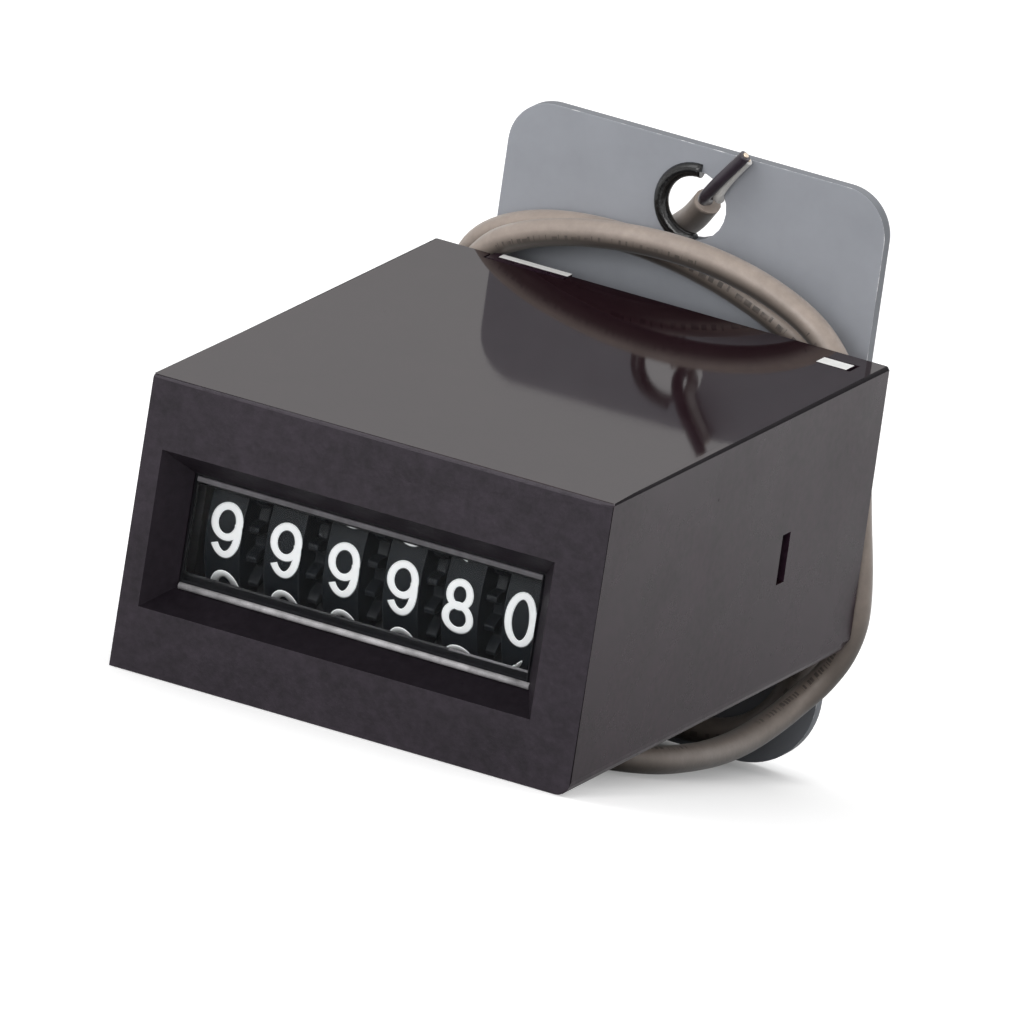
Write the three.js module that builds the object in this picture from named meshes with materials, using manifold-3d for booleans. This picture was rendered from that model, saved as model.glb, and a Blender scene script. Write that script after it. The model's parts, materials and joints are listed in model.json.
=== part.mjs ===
// A small electromagnetic six-digit counter: moulded case, number wheels, magnet and cable.
// Millimetres. X runs to the right, Y to the back and Z up. The front with its window faces -Y.
// The origin lies on the rear face of the mounting plate, on the middle line of the case.
import * as THREE from "three";
import { mergeVertices } from "three/addons/utils/BufferGeometryUtils.js";
import Module from "manifold-3d";

const wasm = await Module();
wasm.setup();

// Case
const caseWidth = 32;
const caseHeight = 19;
const caseDepth = 38.5;
const caseWall = 1.2;
const frontWall = 2.1;
const recessSideMargin = 2.35;
const recessTopMargin = 4.4;
const recessDepth = 1.9;
const recessDrop = 0.2;
const recessTaperWidth = 1.425;
const recessTaperHeight = 1.4;
const windowLeft = 1;
const windowDrop = 0.45;
const slotFromRear = 12.1;
const slotWidth = 1.1;
const slotHeight = 3.3;
const slotDrop = 0.3;
const cutOverrun = 1;

// Mounting plate
const plateSideMargin = 2.8;
const plateHeight = 38.5;
const plateThickness = 1;
const plateCorner = 3;
const plateLowerCorner = 5;
const plateLeft = 0.55;
const plateDrop = 0.5;
const plateHole = 4.5;
const plateHoleMargin = 3.9;

// Window lens
const lensSideFlange = 1.575;
const lensTopFlange = 1.2;
const lensThickness = 0.8;
const lensFit = 0.15;

// Rear cover with the neck that carries the plate
const coverThickness = 1.6;
const coverFit = 0.15;
const neckWidth = 12;
const neckHeight = 9;
const neckLength = 4;
const tongueWidth = 5.4;
const tongueInset = 6.8;
const tongueDepth = 0.9;
const tongueProud = 0.5;
const latchWidth = 2.1;
const latchInset = 2.6;
const latchFromRear = 2.2;
const latchLength = 1.2;
const latchArm = 0.8;
const screwLeft = 1.5;
const screwHalfPitch = 2.6;
const screwShank = 1.8;
const screwHead = 4;
const screwHeadDepth = 0.8;
const screwLength = 3.8;
const screwFit = 0.1;
const driveSlot = 0.6;
const driveSlotDepth = 0.35;

// Cable
const cableDiameter = 1.8;
const cableSides = 8;
const grommetRight = 4;
const grommetForward = 3.3;
const grommetBase = 2.7;
const grommetTip = 2.3;
const grommetInside = 2;
const grommetOutside = 2.5;
const grommetFit = 0.1;
const leadHole = 2.2;
const leadHoleDrop = 1;
const coreDiameter = 0.8;
const coilSides = 6;
const coilStepsPerTurn = 24;
const coilLeft = 1.2;
const coilMiddleHeight = 5.14;
const coilForward = 2.02;
const coilHalfWidth = 13.8;
const coilRise = 6.5;
const coilDrop = 23.2;
const coilEndRise = 1.86;
const coilLeanWidth = 2.4;
const coilBottomPowerShare = 0.6;
const coilSweep = THREE.MathUtils.degToRad(285);
const routeHoleHeight = 14.85;

// Number wheels and their shaft
const wheelCount = 6;
const wheelPitchShare = 0.1693;
const rimShare = 0.604;
const gearWidthShare = 0.169;
const wheelToCase = 1;
const wheelGap = 0.3;
const wheelSides = 40;
const shaftRadius = 1.2;
const shaftSides = 24;
const runningFit = 0.05;
const gearTeeth = 20;
const gearRootShare = 0.712;
const gearPitchShare = 0.8123;
const gearTipShare = 0.877;
const gearToothShare = 0.365;
const carryDiscShare = 0.685;
const carryToothShare = 0.322;
const carryPastMesh = THREE.MathUtils.degToRad(-45);
const carryBeforeMesh = THREE.MathUtils.degToRad(63);

// Transfer pinions
const pinionTeeth = 8;
const pinionRootShare = 0.704;
const pinionTipShare = 1.21;
const pinionToothShare = 0.354;
const pinionSideFit = 0.15;
const pinionShaftRadius = 0.7;
const pinionAngle = THREE.MathUtils.degToRad(-30);
const toothRootShare = 1.12;
const toothTipShare = 0.5;

// Inner frame
const frameFit = 0.3;
const frameThickness = 0.8;
const frameToCase = 0.65;
const frameDrop = 0.45;
const frameFrontClear = 2;
const frameRearClear = 2;
const floorToWheel = 1.8;
const tabLength = 0.8;
const lugThickness = 0.8;
const lugHeight = 3.4;
const lugReach = 1.6;

// Magnet
const magnetDrop = 0.5;
const coreShare = 0.159;
const coreStand = 0.4;
const flangeClear = 1.35;
const flangeThickness = 0.8;
const bobbinWall = 0.6;
const coreFit = 0.1;
const windingBelowFlange = 0.6;
const windingFit = 0.1;
const yokeThickness = 1;
const yokeWidth = 8.4;
const yokeBelowFrame = 0.2;
const yokeLegThickness = 0.8;
const yokeLegWidth = 10;
const yokeToCover = 2;
const yokeToBobbin = 0.6;
const stakeWidth = 1.2;
const stakeHalfPitch = 2.6;
const stakeFit = 0.1;
const pinHalfPitch = 5.3;
const pinAboveFlange = 0.8;
const pinRadius = 0.35;
const pinLength = 2.6;
const innerLeadDiameter = 0.66;

// Armature, its pin, the pallet fork and the star wheel
const armatureClear = 0.74;
const airGap = 0.6;
const armatureThickness = 0.8;
const armatureWidth = 8;
const armatureToFloor = 0.5;
const armatureBelowPivot = 0.6;
const pivotRadius = 0.5;
const pivotBelowYoke = 0.4;
const knuckleRadius = 1;
const earThickness = 0.8;
const earReach = 0.8;
const forkArmBottom = 1;
const forkArmDrop = 1.4;
const forkThickness = 1;
const forkInnerShare = 0.63;
const forkOuterShare = 0.822;
const forkHalfSpan = THREE.MathUtils.degToRad(95);
const forkArcSteps = 20;
const palletWidth = 0.8;
const palletClear = 0.75;
const starTeeth = 10;
const starTipShare = 0.562;
const starRootShare = 0.397;
const starToWheel = 0.2;
const spacerRadius = 2;
const springRadius = 1;
const springWire = 0.36;
const springTurns = 5;
const springLengthShare = 0.6;
const springFit = 0.1;
const springStepsPerTurn = 8;
const springSides = 5;

// Places and sizes that follow from these
const caseRear = -(plateThickness + neckLength);
const caseFront = caseRear - caseDepth;
const innerHalfWidth = caseWidth / 2 - caseWall;
const innerHalfHeight = caseHeight / 2 - caseWall;
const recessWidth = caseWidth - 2 * recessSideMargin;
const recessHeight = caseHeight - 2 * recessTopMargin;
const windowWidth = recessWidth - 2 * recessTaperWidth;
const windowHeight = recessHeight - 2 * recessTaperHeight;
const windowX = -windowLeft;
const windowZ = -windowDrop;
const plateWidth = caseWidth - 2 * plateSideMargin;
const holeHalfPitch = plateHeight / 2 - plateHoleMargin;
const tongueX = tongueInset - caseWidth / 2;
const latchX = caseWidth / 2 - latchInset;
const screwX = -screwLeft;
const coverFront = caseRear - coverThickness;
const lensFront = caseFront + frontWall;
const lensRear = lensFront + lensThickness;
const wheelPitch = windowWidth * wheelPitchShare;
const rimWidth = wheelPitch * rimShare;
const gearWidth = wheelPitch * gearWidthShare;
const wheelRadius = innerHalfHeight - wheelToCase;
const wheelY = lensRear + wheelGap + wheelRadius;
const wheelZ = windowZ;
const gearRoot = wheelRadius * gearRootShare;
const gearPitchRadius = wheelRadius * gearPitchShare;
const gearTip = wheelRadius * gearTipShare;
const gearStep = (2 * Math.PI * gearPitchRadius) / gearTeeth;
const gearToothThickness = gearStep * gearToothShare;
const carryRadius = wheelRadius * carryDiscShare;
const carryToothThickness = gearStep * carryToothShare;
const pinionPitchRadius = (gearPitchRadius * pinionTeeth) / gearTeeth;
const pinionRoot = pinionPitchRadius * pinionRootShare;
const pinionTip = pinionPitchRadius * pinionTipShare;
const pinionToothThickness = gearStep * pinionToothShare;
const gearDistance = gearPitchRadius + pinionPitchRadius;
const pinionY = wheelY + gearDistance * Math.cos(pinionAngle);
const pinionZ = wheelZ + gearDistance * Math.sin(pinionAngle);
const starTip = wheelRadius * starTipShare;
const starRoot = wheelRadius * starRootShare;
const forkInner = wheelRadius * forkInnerShare;
const forkOuter = wheelRadius * forkOuterShare;
const frameOuter = innerHalfWidth - frameFit;
const frameInner = frameOuter - frameThickness;
const frameTop = innerHalfHeight - frameToCase - frameDrop;
const frameBottom = frameToCase - frameDrop - innerHalfHeight;
const frameRear = coverFront - frameRearClear;
const floorTop = frameBottom + frameThickness;
const slotY = caseRear - slotFromRear;
const slotZ = -slotDrop;
const unitsX = windowX + ((wheelCount - 1) / 2) * wheelPitch;
const starX = unitsX + rimWidth / 2 + starToWheel;
const starEnd = starX + forkThickness;
const armatureFront = pinionY + pinionTip + armatureClear;
const armatureRear = armatureFront + armatureThickness;
const coreFront = armatureRear + airGap;
const bobbinFront = coreFront + coreStand;
const yokeRear = coverFront - yokeToCover;
const yokeFront = yokeRear - yokeThickness;
const bobbinRear = yokeFront - yokeToBobbin;
const bobbinLength = bobbinRear - bobbinFront;
const magnetZ = -magnetDrop;
const flangeSize = frameTop - frameBottom - 2 * flangeClear;
const windingRadius = flangeSize / 2 - windingBelowFlange;
const coreRadius = flangeSize * coreShare;
const bobbinTube = coreRadius + coreFit + bobbinWall;
const pinZ = magnetZ - flangeSize / 2 + pinAboveFlange;
const yokeTopZ = frameTop - yokeBelowFrame;
const pivotY = armatureFront + armatureThickness / 2;
const pivotZ = yokeTopZ - pivotBelowYoke;
const armatureTop = pivotZ - armatureBelowPivot;
const armatureBottom = floorTop + armatureToFloor;
const forkArmTop = armatureTop - forkArmDrop;
const springX = (flangeSize / 2 + frameInner) / 2;
const springZ = (forkArmBottom + forkArmTop) / 2;
const springLength = bobbinLength * springLengthShare;
const springRear = armatureRear + springFit + springLength;
const grommetX = grommetRight;
const grommetY = -grommetForward;
const leadHoleZ = -leadHoleDrop;
const plateX = -plateLeft;
const holeZ = holeHalfPitch - plateDrop;

const black = new THREE.MeshStandardMaterial({ color: 0x2b2628, roughness: 0.35 });
const wheelBlack = new THREE.MeshStandardMaterial({ color: 0x141417, roughness: 0.5 });
const clear = new THREE.MeshStandardMaterial({
  color: 0xe8eef0,
  roughness: 0.05,
  transparent: true,
  opacity: 0.3,
});
const plateGrey = new THREE.MeshStandardMaterial({ color: 0x8f959c, roughness: 0.45, metalness: 0.8 });
const steel = new THREE.MeshStandardMaterial({ color: 0xb4b8bc, roughness: 0.3, metalness: 1 });
const brass = new THREE.MeshStandardMaterial({ color: 0xb8954a, roughness: 0.35, metalness: 1 });
const copper = new THREE.MeshStandardMaterial({ color: 0x9a4a26, roughness: 0.4, metalness: 0.6 });
const paleNylon = new THREE.MeshStandardMaterial({ color: 0xe4ddcf, roughness: 0.5 });
const jacket = new THREE.MeshStandardMaterial({ color: 0x94887c, roughness: 0.55 });
const coreBlack = new THREE.MeshStandardMaterial({ color: 0x1d1a1f, roughness: 0.5 });
const coreWhite = new THREE.MeshStandardMaterial({ color: 0xd9d6d0, roughness: 0.5 });

// Solids

function solidOf(geometry) {
  geometry.deleteAttribute("normal");
  geometry.deleteAttribute("uv");
  const merged = mergeVertices(geometry);
  const mesh = new wasm.Mesh({
    numProp: 3,
    vertProperties: merged.attributes.position.array,
    triVerts: new Uint32Array(merged.index.array),
  });
  return new wasm.Manifold(mesh);
}

function geometryOf(solid) {
  const mesh = solid.getMesh();
  const geometry = new THREE.BufferGeometry();
  geometry.setAttribute("position", new THREE.BufferAttribute(mesh.vertProperties, 3));
  geometry.setIndex(new THREE.BufferAttribute(mesh.triVerts, 1));
  geometry.computeVertexNormals();
  return geometry;
}

function joined(first, ...others) {
  const sum = others.reduce((whole, other) => whole.add(solidOf(other)), solidOf(first));
  return geometryOf(sum);
}

function cut(body, ...tools) {
  const rest = tools.reduce((whole, tool) => whole.subtract(solidOf(tool)), solidOf(body));
  return geometryOf(rest);
}

// A block between two limits on each axis.
function block(x, y, z) {
  const geometry = new THREE.BoxGeometry(x[1] - x[0], y[1] - y[0], z[1] - z[0]);
  return geometry.translate((x[0] + x[1]) / 2, (y[0] + y[1]) / 2, (z[0] + z[1]) / 2);
}

function around(middle, width) {
  return [middle - width / 2, middle + width / 2];
}

// A block whose front and back faces are rectangles of their own.
function taperedBlock(front, back) {
  const geometry = new THREE.BoxGeometry(1, 1, 1);
  const position = geometry.getAttribute("position");
  for (let i = 0; i < position.count; i += 1) {
    const end = position.getY(i) < 0 ? front : back;
    const x = end.x + position.getX(i) * end.width;
    const z = end.z + position.getZ(i) * end.height;
    position.setXYZ(i, x, end.y, z);
  }
  return geometry;
}

// Rods along X, Y and Z.
function rodX(radius, x, y, z, sides = shaftSides) {
  const rod = new THREE.CylinderGeometry(radius, radius, x[1] - x[0], sides);
  return rod.rotateZ(Math.PI / 2).translate((x[0] + x[1]) / 2, y, z);
}

function rodY(radius, x, y, z, sides = shaftSides) {
  const rod = new THREE.CylinderGeometry(radius, radius, y[1] - y[0], sides);
  return rod.translate(x, (y[0] + y[1]) / 2, z);
}

function rodZ(radius, x, y, z, sides = shaftSides) {
  const rod = new THREE.CylinderGeometry(radius, radius, z[1] - z[0], sides);
  return rod.rotateX(Math.PI / 2).translate(x, y, (z[0] + z[1]) / 2);
}

// The bore of a faceted hole in which a faceted shaft turns with the running fit.
function boreFor(radius) {
  return (radius + runningFit) / Math.cos(Math.PI / shaftSides);
}

// A flat outline in Y and Z, given a thickness along X from its left side.
function sidePlate(points, left, thickness, holes = []) {
  const shape = new THREE.Shape(points);
  holes.forEach((hole) => shape.holes.push(new THREE.Path(hole)));
  const plate = new THREE.ExtrudeGeometry(shape, { depth: thickness, bevelEnabled: false });
  const turn = new THREE.Matrix4().makeBasis(
    new THREE.Vector3(0, 1, 0),
    new THREE.Vector3(0, 0, 1),
    new THREE.Vector3(1, 0, 0),
  );
  return plate.applyMatrix4(turn).translate(left, 0, 0);
}

function circle(radius, sides, y = 0, z = 0) {
  const points = [];
  for (let i = 0; i < sides; i += 1) {
    const angle = (i / sides) * 2 * Math.PI;
    points.push(new THREE.Vector2(y + radius * Math.cos(angle), z + radius * Math.sin(angle)));
  }
  return points;
}

// Points on a circle round (y, z), one for each [radius, angle].
function polar(list, y, z) {
  return list.map(
    ([radius, angle]) => new THREE.Vector2(y + radius * Math.cos(angle), z + radius * Math.sin(angle)),
  );
}

// One tooth as [radius, angle] pairs, wide at its root and narrow at its tip.
function tooth(root, pitchRadius, tip, thickness, middle) {
  const rootHalf = (thickness * toothRootShare) / 2 / root;
  const pitchHalf = thickness / 2 / pitchRadius;
  const tipHalf = (thickness * toothTipShare) / 2 / tip;
  return [
    [root, middle - rootHalf],
    [pitchRadius, middle - pitchHalf],
    [tip, middle - tipHalf],
    [tip, middle + tipHalf],
    [pitchRadius, middle + pitchHalf],
    [root, middle + rootHalf],
  ];
}

function gearOutline(teeth, root, pitchRadius, tip, thickness, firstTooth) {
  const list = [];
  for (let i = 0; i < teeth; i += 1) {
    const middle = firstTooth + (i / teeth) * 2 * Math.PI;
    list.push(...tooth(root, pitchRadius, tip, thickness, middle));
  }
  return list;
}

function tube(points, diameter, sides, steps) {
  const curve = new THREE.CatmullRomCurve3(points, false, "catmullrom", 0.5);
  const section = new THREE.Shape(circle(diameter / 2, sides));
  return new THREE.ExtrudeGeometry(section, { steps, bevelEnabled: false, extrudePath: curve });
}

const counter = new THREE.Group();
counter.name = "six_digit_counter";

function add(name, geometry, material) {
  const mesh = new THREE.Mesh(geometry, material);
  mesh.name = name;
  counter.add(mesh);
  return mesh;
}

// Case: one moulding, open at the rear

function makeCase() {
  const halfWidth = caseWidth / 2;
  const halfHeight = caseHeight / 2;
  const outside = block([-halfWidth, halfWidth], [caseFront, caseRear], [-halfHeight, halfHeight]);
  const inside = block(
    [-innerHalfWidth, innerHalfWidth],
    [lensFront, caseRear + cutOverrun],
    [-innerHalfHeight, innerHalfHeight],
  );
  const recess = taperedBlock(
    { x: windowX, y: caseFront, z: -recessDrop, width: recessWidth, height: recessHeight },
    { x: windowX, y: caseFront + recessDepth, z: windowZ, width: windowWidth, height: windowHeight },
  );
  const opening = block(
    around(windowX, windowWidth),
    [caseFront + recessDepth / 2, lensFront + cutOverrun],
    around(windowZ, windowHeight),
  );
  const slots = block(
    [-halfWidth - cutOverrun, halfWidth + cutOverrun],
    around(slotY, slotWidth),
    around(slotZ, slotHeight),
  );
  const tongueNotch = block(
    around(tongueX, tongueWidth + 2 * coverFit),
    [caseRear - tongueDepth - coverFit, caseRear + cutOverrun],
    [innerHalfHeight - cutOverrun, halfHeight + cutOverrun],
  );
  const latchHole = block(
    around(latchX, latchWidth + 2 * coverFit),
    around(caseRear - latchFromRear, latchLength + 2 * coverFit),
    [innerHalfHeight - cutOverrun, halfHeight + cutOverrun],
  );
  const shell = cut(outside, inside, recess, opening, slots, tongueNotch, latchHole);
  add("case_shell", shell, black);
}

// Lens: a flange behind the front wall and a raised pane in the window

function makeLens() {
  const flange = block(
    around(windowX, windowWidth + 2 * lensSideFlange),
    [lensFront, lensRear],
    around(windowZ, windowHeight + 2 * lensTopFlange),
  );
  const pane = block(
    around(windowX, windowWidth - 2 * lensFit),
    [caseFront + recessDepth, lensFront + lensThickness / 2],
    around(windowZ, windowHeight - 2 * lensFit),
  );
  add("window_lens", joined(flange, pane), clear);
}

// Rear cover: wall, neck, tongue and latch in one moulding

function makeCover() {
  const halfWidth = innerHalfWidth - coverFit;
  const halfHeight = innerHalfHeight - coverFit;
  const halfLatch = latchLength / 2;
  const latchY = caseRear - latchFromRear;
  const wall = block([-halfWidth, halfWidth], [coverFront, caseRear], [-halfHeight, halfHeight]);
  const neck = block(
    around(0, neckWidth),
    [coverFront + coverThickness / 2, -plateThickness],
    around(0, neckHeight),
  );
  const tongue = block(
    around(tongueX, tongueWidth),
    [caseRear - tongueDepth, caseRear + tongueProud],
    [halfHeight - tongueDepth, caseHeight / 2],
  );
  const arm = block(
    around(latchX - coverFit, latchWidth),
    [latchY - halfLatch, coverFront + coverThickness / 2],
    [halfHeight - latchArm, halfHeight],
  );
  const nub = block(
    around(latchX - coverFit, latchWidth),
    around(latchY, latchLength),
    [halfHeight - latchArm / 2, caseHeight / 2],
  );
  const cableWay = rodZ(
    grommetBase / 2 + grommetFit,
    grommetX,
    grommetY,
    [-neckHeight / 2 - cutOverrun, leadHoleZ],
  );
  const leadWay = rodY(leadHole / 2, grommetX, [coverFront - cutOverrun, grommetY], leadHoleZ);
  const screwWays = [-screwHalfPitch, screwHalfPitch].map((z) =>
    rodY(
      screwShank / 2 + screwFit,
      screwX,
      [-screwLength - screwFit, -plateThickness + cutOverrun],
      z,
    ),
  );
  const moulding = joined(wall, neck, tongue, arm, nub);
  add("rear_cover", cut(moulding, cableWay, leadWay, ...screwWays), black);
}

// Countersunk head and shank as a profile from the head's flat to the tip
function screwProfile(extra) {
  const head = screwHead / 2 + extra;
  const shank = screwShank / 2 + extra;
  return [
    new THREE.Vector2(0, -screwLength),
    new THREE.Vector2(shank, -screwLength),
    new THREE.Vector2(shank, -screwHeadDepth),
    new THREE.Vector2(head, 0),
    new THREE.Vector2(0, 0),
  ];
}

function makePlateScrews() {
  ["lower", "upper"].forEach((place, i) => {
    const z = i ? screwHalfPitch : -screwHalfPitch;
    const body = new THREE.LatheGeometry(screwProfile(0), shaftSides).translate(screwX, 0, z);
    const groove = block(
      around(screwX, screwHead + cutOverrun),
      [-driveSlotDepth, cutOverrun],
      around(z, driveSlot),
    );
    add("plate_screw_" + place, cut(body, groove), steel);
  });
}

// Mounting plate with rounded corners, two fixing holes and two countersunk holes

function makePlate() {
  const halfWidth = plateWidth / 2;
  const halfHeight = plateHeight / 2;
  const outline = new THREE.Shape();
  const corners = [
    [1, 1, plateCorner, 0],
    [-1, 1, plateCorner, Math.PI / 2],
    [-1, -1, plateLowerCorner, Math.PI],
    [1, -1, plateLowerCorner, -Math.PI / 2],
  ];
  corners.forEach(([right, up, radius, start]) => {
    const x = plateX + right * (halfWidth - radius);
    const z = up * (halfHeight - radius) - plateDrop;
    outline.absarc(x, z, radius, start, start + Math.PI / 2, false);
  });
  const sheet = new THREE.ExtrudeGeometry(outline, {
    depth: plateThickness,
    bevelEnabled: false,
    curveSegments: 8,
  }).rotateX(Math.PI / 2);
  const holes = [-1, 1].map((side) =>
    rodY(
      plateHole / 2,
      plateX,
      [-plateThickness - cutOverrun, cutOverrun],
      side * holeHalfPitch - plateDrop,
    ),
  );
  const sinks = [-screwHalfPitch, screwHalfPitch].map((z) =>
    new THREE.LatheGeometry(screwProfile(screwFit), shaftSides).translate(screwX, 0, z),
  );
  add("mounting_plate", cut(sheet, ...holes, ...sinks), plateGrey);
}

// Grommet: a bush in the neck that tapers down the cable

function makeGrommet() {
  const bore = cableDiameter / 2 + grommetFit / 2;
  const mouth = -neckHeight / 2;
  const profile = [
    new THREE.Vector2(bore, mouth - grommetOutside),
    new THREE.Vector2(grommetTip / 2, mouth - grommetOutside),
    new THREE.Vector2(grommetBase / 2, mouth),
    new THREE.Vector2(grommetBase / 2, mouth + grommetInside),
    new THREE.Vector2(bore, mouth + grommetInside),
    new THREE.Vector2(bore, mouth - grommetOutside),
  ];
  const bush = new THREE.LatheGeometry(profile, shaftSides).rotateX(Math.PI / 2);
  add("cable_grommet", bush.translate(grommetX, grommetY, 0), wheelBlack);
}

// Cable: from the grommet once round the neck and forward under the case, then one wound turn
// against the plate, then up behind the plate and out through its hole.

const leadRoute = [
  [4, -3.3, -7.3],
  [4, -3.3, -9.1],
  [3.4, -3.5, -11],
  [1.5, -3.8, -12.8],
  [-1.4, -3.94, -13.7],
  [-4.8, -3.94, -13.7],
  [-8.2, -3.94, -12.6],
  [-11, -3.94, -10.5],
  [-13, -3.94, -7.5],
  [-14, -3.94, -3.9],
  [-14.4, -3.94, 0],
  [-14.5, -3.94, 3.8],
  [-14, -3.94, 7.2],
  [-12.5, -3.94, 9.6],
  [-10.2, -3.94, 11],
  [-7, -3.94, 12],
  [-3.4, -3.94, 12.6],
  [0.4, -3.94, 12.75],
  [4, -3.94, 12.4],
  [7.4, -3.94, 11.5],
  [10.2, -3.94, 10.1],
  [12.2, -3.94, 8],
  [13.5, -3.9, 5.2],
  [14.3, -3.9, 2],
  [14.9, -3.9, -1.4],
  [15.5, -3.92, -4.8],
  [15.7, -3.98, -7.6],
  [15.2, -4.08, -9.9],
  [14.3, -4.6, -11.8],
  [13.4, -5.9, -13.2],
  [12.9, -8.1, -14.1],
  [12.6, -11.2, -14.6],
  [12.5, -15, -14.5],
  [12.3, -19, -14],
  [11.6, -22.8, -13.4],
  [9.6, -26, -12.8],
  [6.2, -27.9, -12.35],
  [1.8, -28.5, -12.2],
  [-2.8, -28, -12.15],
  [-8, -26.6, -12.15],
  [-12, -24, -12.3],
  [-14.4, -19.6, -12.4],
  [-15.6, -14.6, -12.5],
  [-16.2, -9.8, -12.4],
  [-16.4, -5.6, -11.6],
  [-16.3, -3.2, -9.4],
  [-16, -2.3, -6.2],
  [-15.6, -2.05, -2.4],
  [-15.2, -2.02, 1.4],
  [-15.03, -2.02, 5],
  [-15, -2.02, 6.7],
];
const leadSteps = 50;

const tailRoute = [
  [-5.36, -2.02, -16.9],
  [-8.2, -2.02, -16.3],
  [-11.2, -2.02, -15],
  [-13.4, -2.02, -13.3],
  [-15, -1.98, -11.5],
  [-15.9, -1.4, -9.9],
  [-16.3, -0.5, -8],
  [-16.3, 0.4, -5.6],
  [-15.6, 1.3, -2.8],
  [-14.2, 1.75, -0.4],
  [-12.2, 1.8, 1.7],
  [-9.4, 1.8, 4.6],
  [-6.6, 1.8, 7.6],
  [-4.4, 1.75, 10],
  [-2.6, 1.5, 12.1],
  [-1.3, 1, 13.4],
  [-0.2, 0.35, 14.9],
];
const tailSteps = 18;

const blackCoreRoute = [
  [0, -0.21, 15.18],
  [0.15, -1.15, 15.45],
  [0.65, -1.95, 16.1],
  [1.4, -2.35, 17.1],
  [2.25, -2.42, 18.25],
  [3.1, -2.42, 19.4],
];
const whiteCoreRoute = [
  [0.17, 0.6, 15.4],
  [0.62, 0.05, 15.6],
  [0.98, -0.72, 15.68],
  [1.18, -1.4, 16.15],
  [1.6, -1.48, 17],
  [2.2, -1.48, 17.95],
  [2.85, -1.48, 18.85],
];
const coreSteps = 8;

function vectors(list) {
  return list.map(([x, y, z]) => new THREE.Vector3(x, y, z));
}

// The points of a route that ends in the plate's hole, which rise or drop with the hole.
function towardsHole(list) {
  const stretch = holeZ / routeHoleHeight;
  return list.map(([x, y, z]) => new THREE.Vector3(x, y, z > 0 ? z * stretch : z));
}

// One turn of a tilted oval, low and square at its bottom, starting on the left and going over the top.
function woundTurn() {
  const steps = Math.round((coilStepsPerTurn * coilSweep) / (2 * Math.PI));
  const points = [];
  for (let i = 0; i <= steps; i += 1) {
    const angle = (i / steps) * coilSweep;
    const across = Math.cos(angle);
    const up = Math.sin(angle);
    const below = up < 0;
    const reach = below ? Math.sign(across) * Math.abs(across) ** coilBottomPowerShare : across;
    const x = -coilLeft - coilHalfWidth * reach - (below ? coilLeanWidth * up : 0);
    const z = coilMiddleHeight + (below ? coilDrop : coilRise) * up + coilEndRise * across;
    points.push(new THREE.Vector3(x, -coilForward, z));
  }
  return points;
}

// The least gap between points of a tube that are more than a few diameters apart along it.
function leastGap(points, diameter) {
  const along = [0];
  for (let i = 1; i < points.length; i += 1) {
    along.push(along[i - 1] + points[i].distanceTo(points[i - 1]));
  }
  let least = Infinity;
  points.forEach((a, i) =>
    points.forEach((b, k) => {
      if (along[k] - along[i] > 4 * diameter) least = Math.min(least, a.distanceTo(b) - diameter);
    }),
  );
  return least;
}

function makeCable() {
  const turn = woundTurn();
  console.log("least gap of the wound cable to itself, mm:", leastGap(turn, cableDiameter).toFixed(2));
  add("cable_lead", tube(vectors(leadRoute), cableDiameter, cableSides, leadSteps), jacket);
  add("cable_coil", tube(turn, cableDiameter, coilSides, turn.length - 1), jacket);
  add("cable_tail", tube(towardsHole(tailRoute), cableDiameter, cableSides, tailSteps), jacket);
  add("core_black", tube(towardsHole(blackCoreRoute), coreDiameter, cableSides, coreSteps), coreBlack);
  add("core_white", tube(towardsHole(whiteCoreRoute), coreDiameter, cableSides, coreSteps), coreWhite);
}

// Inner frame: two side plates, a floor behind the wheels, tabs in the case's slots, a spring lug

function makeFrame() {
  const shaftBore = boreFor(shaftRadius);
  const pinionBore = boreFor(pinionShaftRadius);
  const front = lensRear + frameFrontClear;
  const sides = [-1, 1].map((side) => {
    const x = side < 0 ? [-frameOuter, -frameInner] : [frameInner, frameOuter];
    return block(x, [front, frameRear], [frameBottom, frameTop]);
  });
  const floor = block(
    [-frameOuter, frameOuter],
    [wheelY + wheelRadius + floorToWheel, frameRear],
    [frameBottom, floorTop],
  );
  const tabs = [-1, 1].map((side) =>
    block(
      side < 0 ? [-frameOuter - tabLength, -frameInner] : [frameInner, frameOuter + tabLength],
      around(slotY, slotWidth - 2 * frameFit),
      around(slotZ, slotHeight - 2 * frameFit),
    ),
  );
  const lug = block(
    [springX - lugReach, frameInner + frameThickness / 2],
    [springRear, springRear + lugThickness],
    around(springZ, lugHeight),
  );
  const ways = [
    rodX(shaftBore, [-caseWidth / 2, caseWidth / 2], wheelY, wheelZ),
    rodX(pinionBore, [-caseWidth / 2, caseWidth / 2], pinionY, pinionZ),
    ...[-stakeHalfPitch, stakeHalfPitch].map((x) =>
      block(
        around(x, stakeWidth + 2 * stakeFit),
        [yokeFront - stakeFit, yokeRear + stakeFit],
        [frameBottom - cutOverrun, floorTop + cutOverrun],
      ),
    ),
  ];
  const frame = joined(sides[0], sides[1], floor, ...tabs, lug);
  add("inner_frame", cut(frame, ...ways), steel);
}

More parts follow.
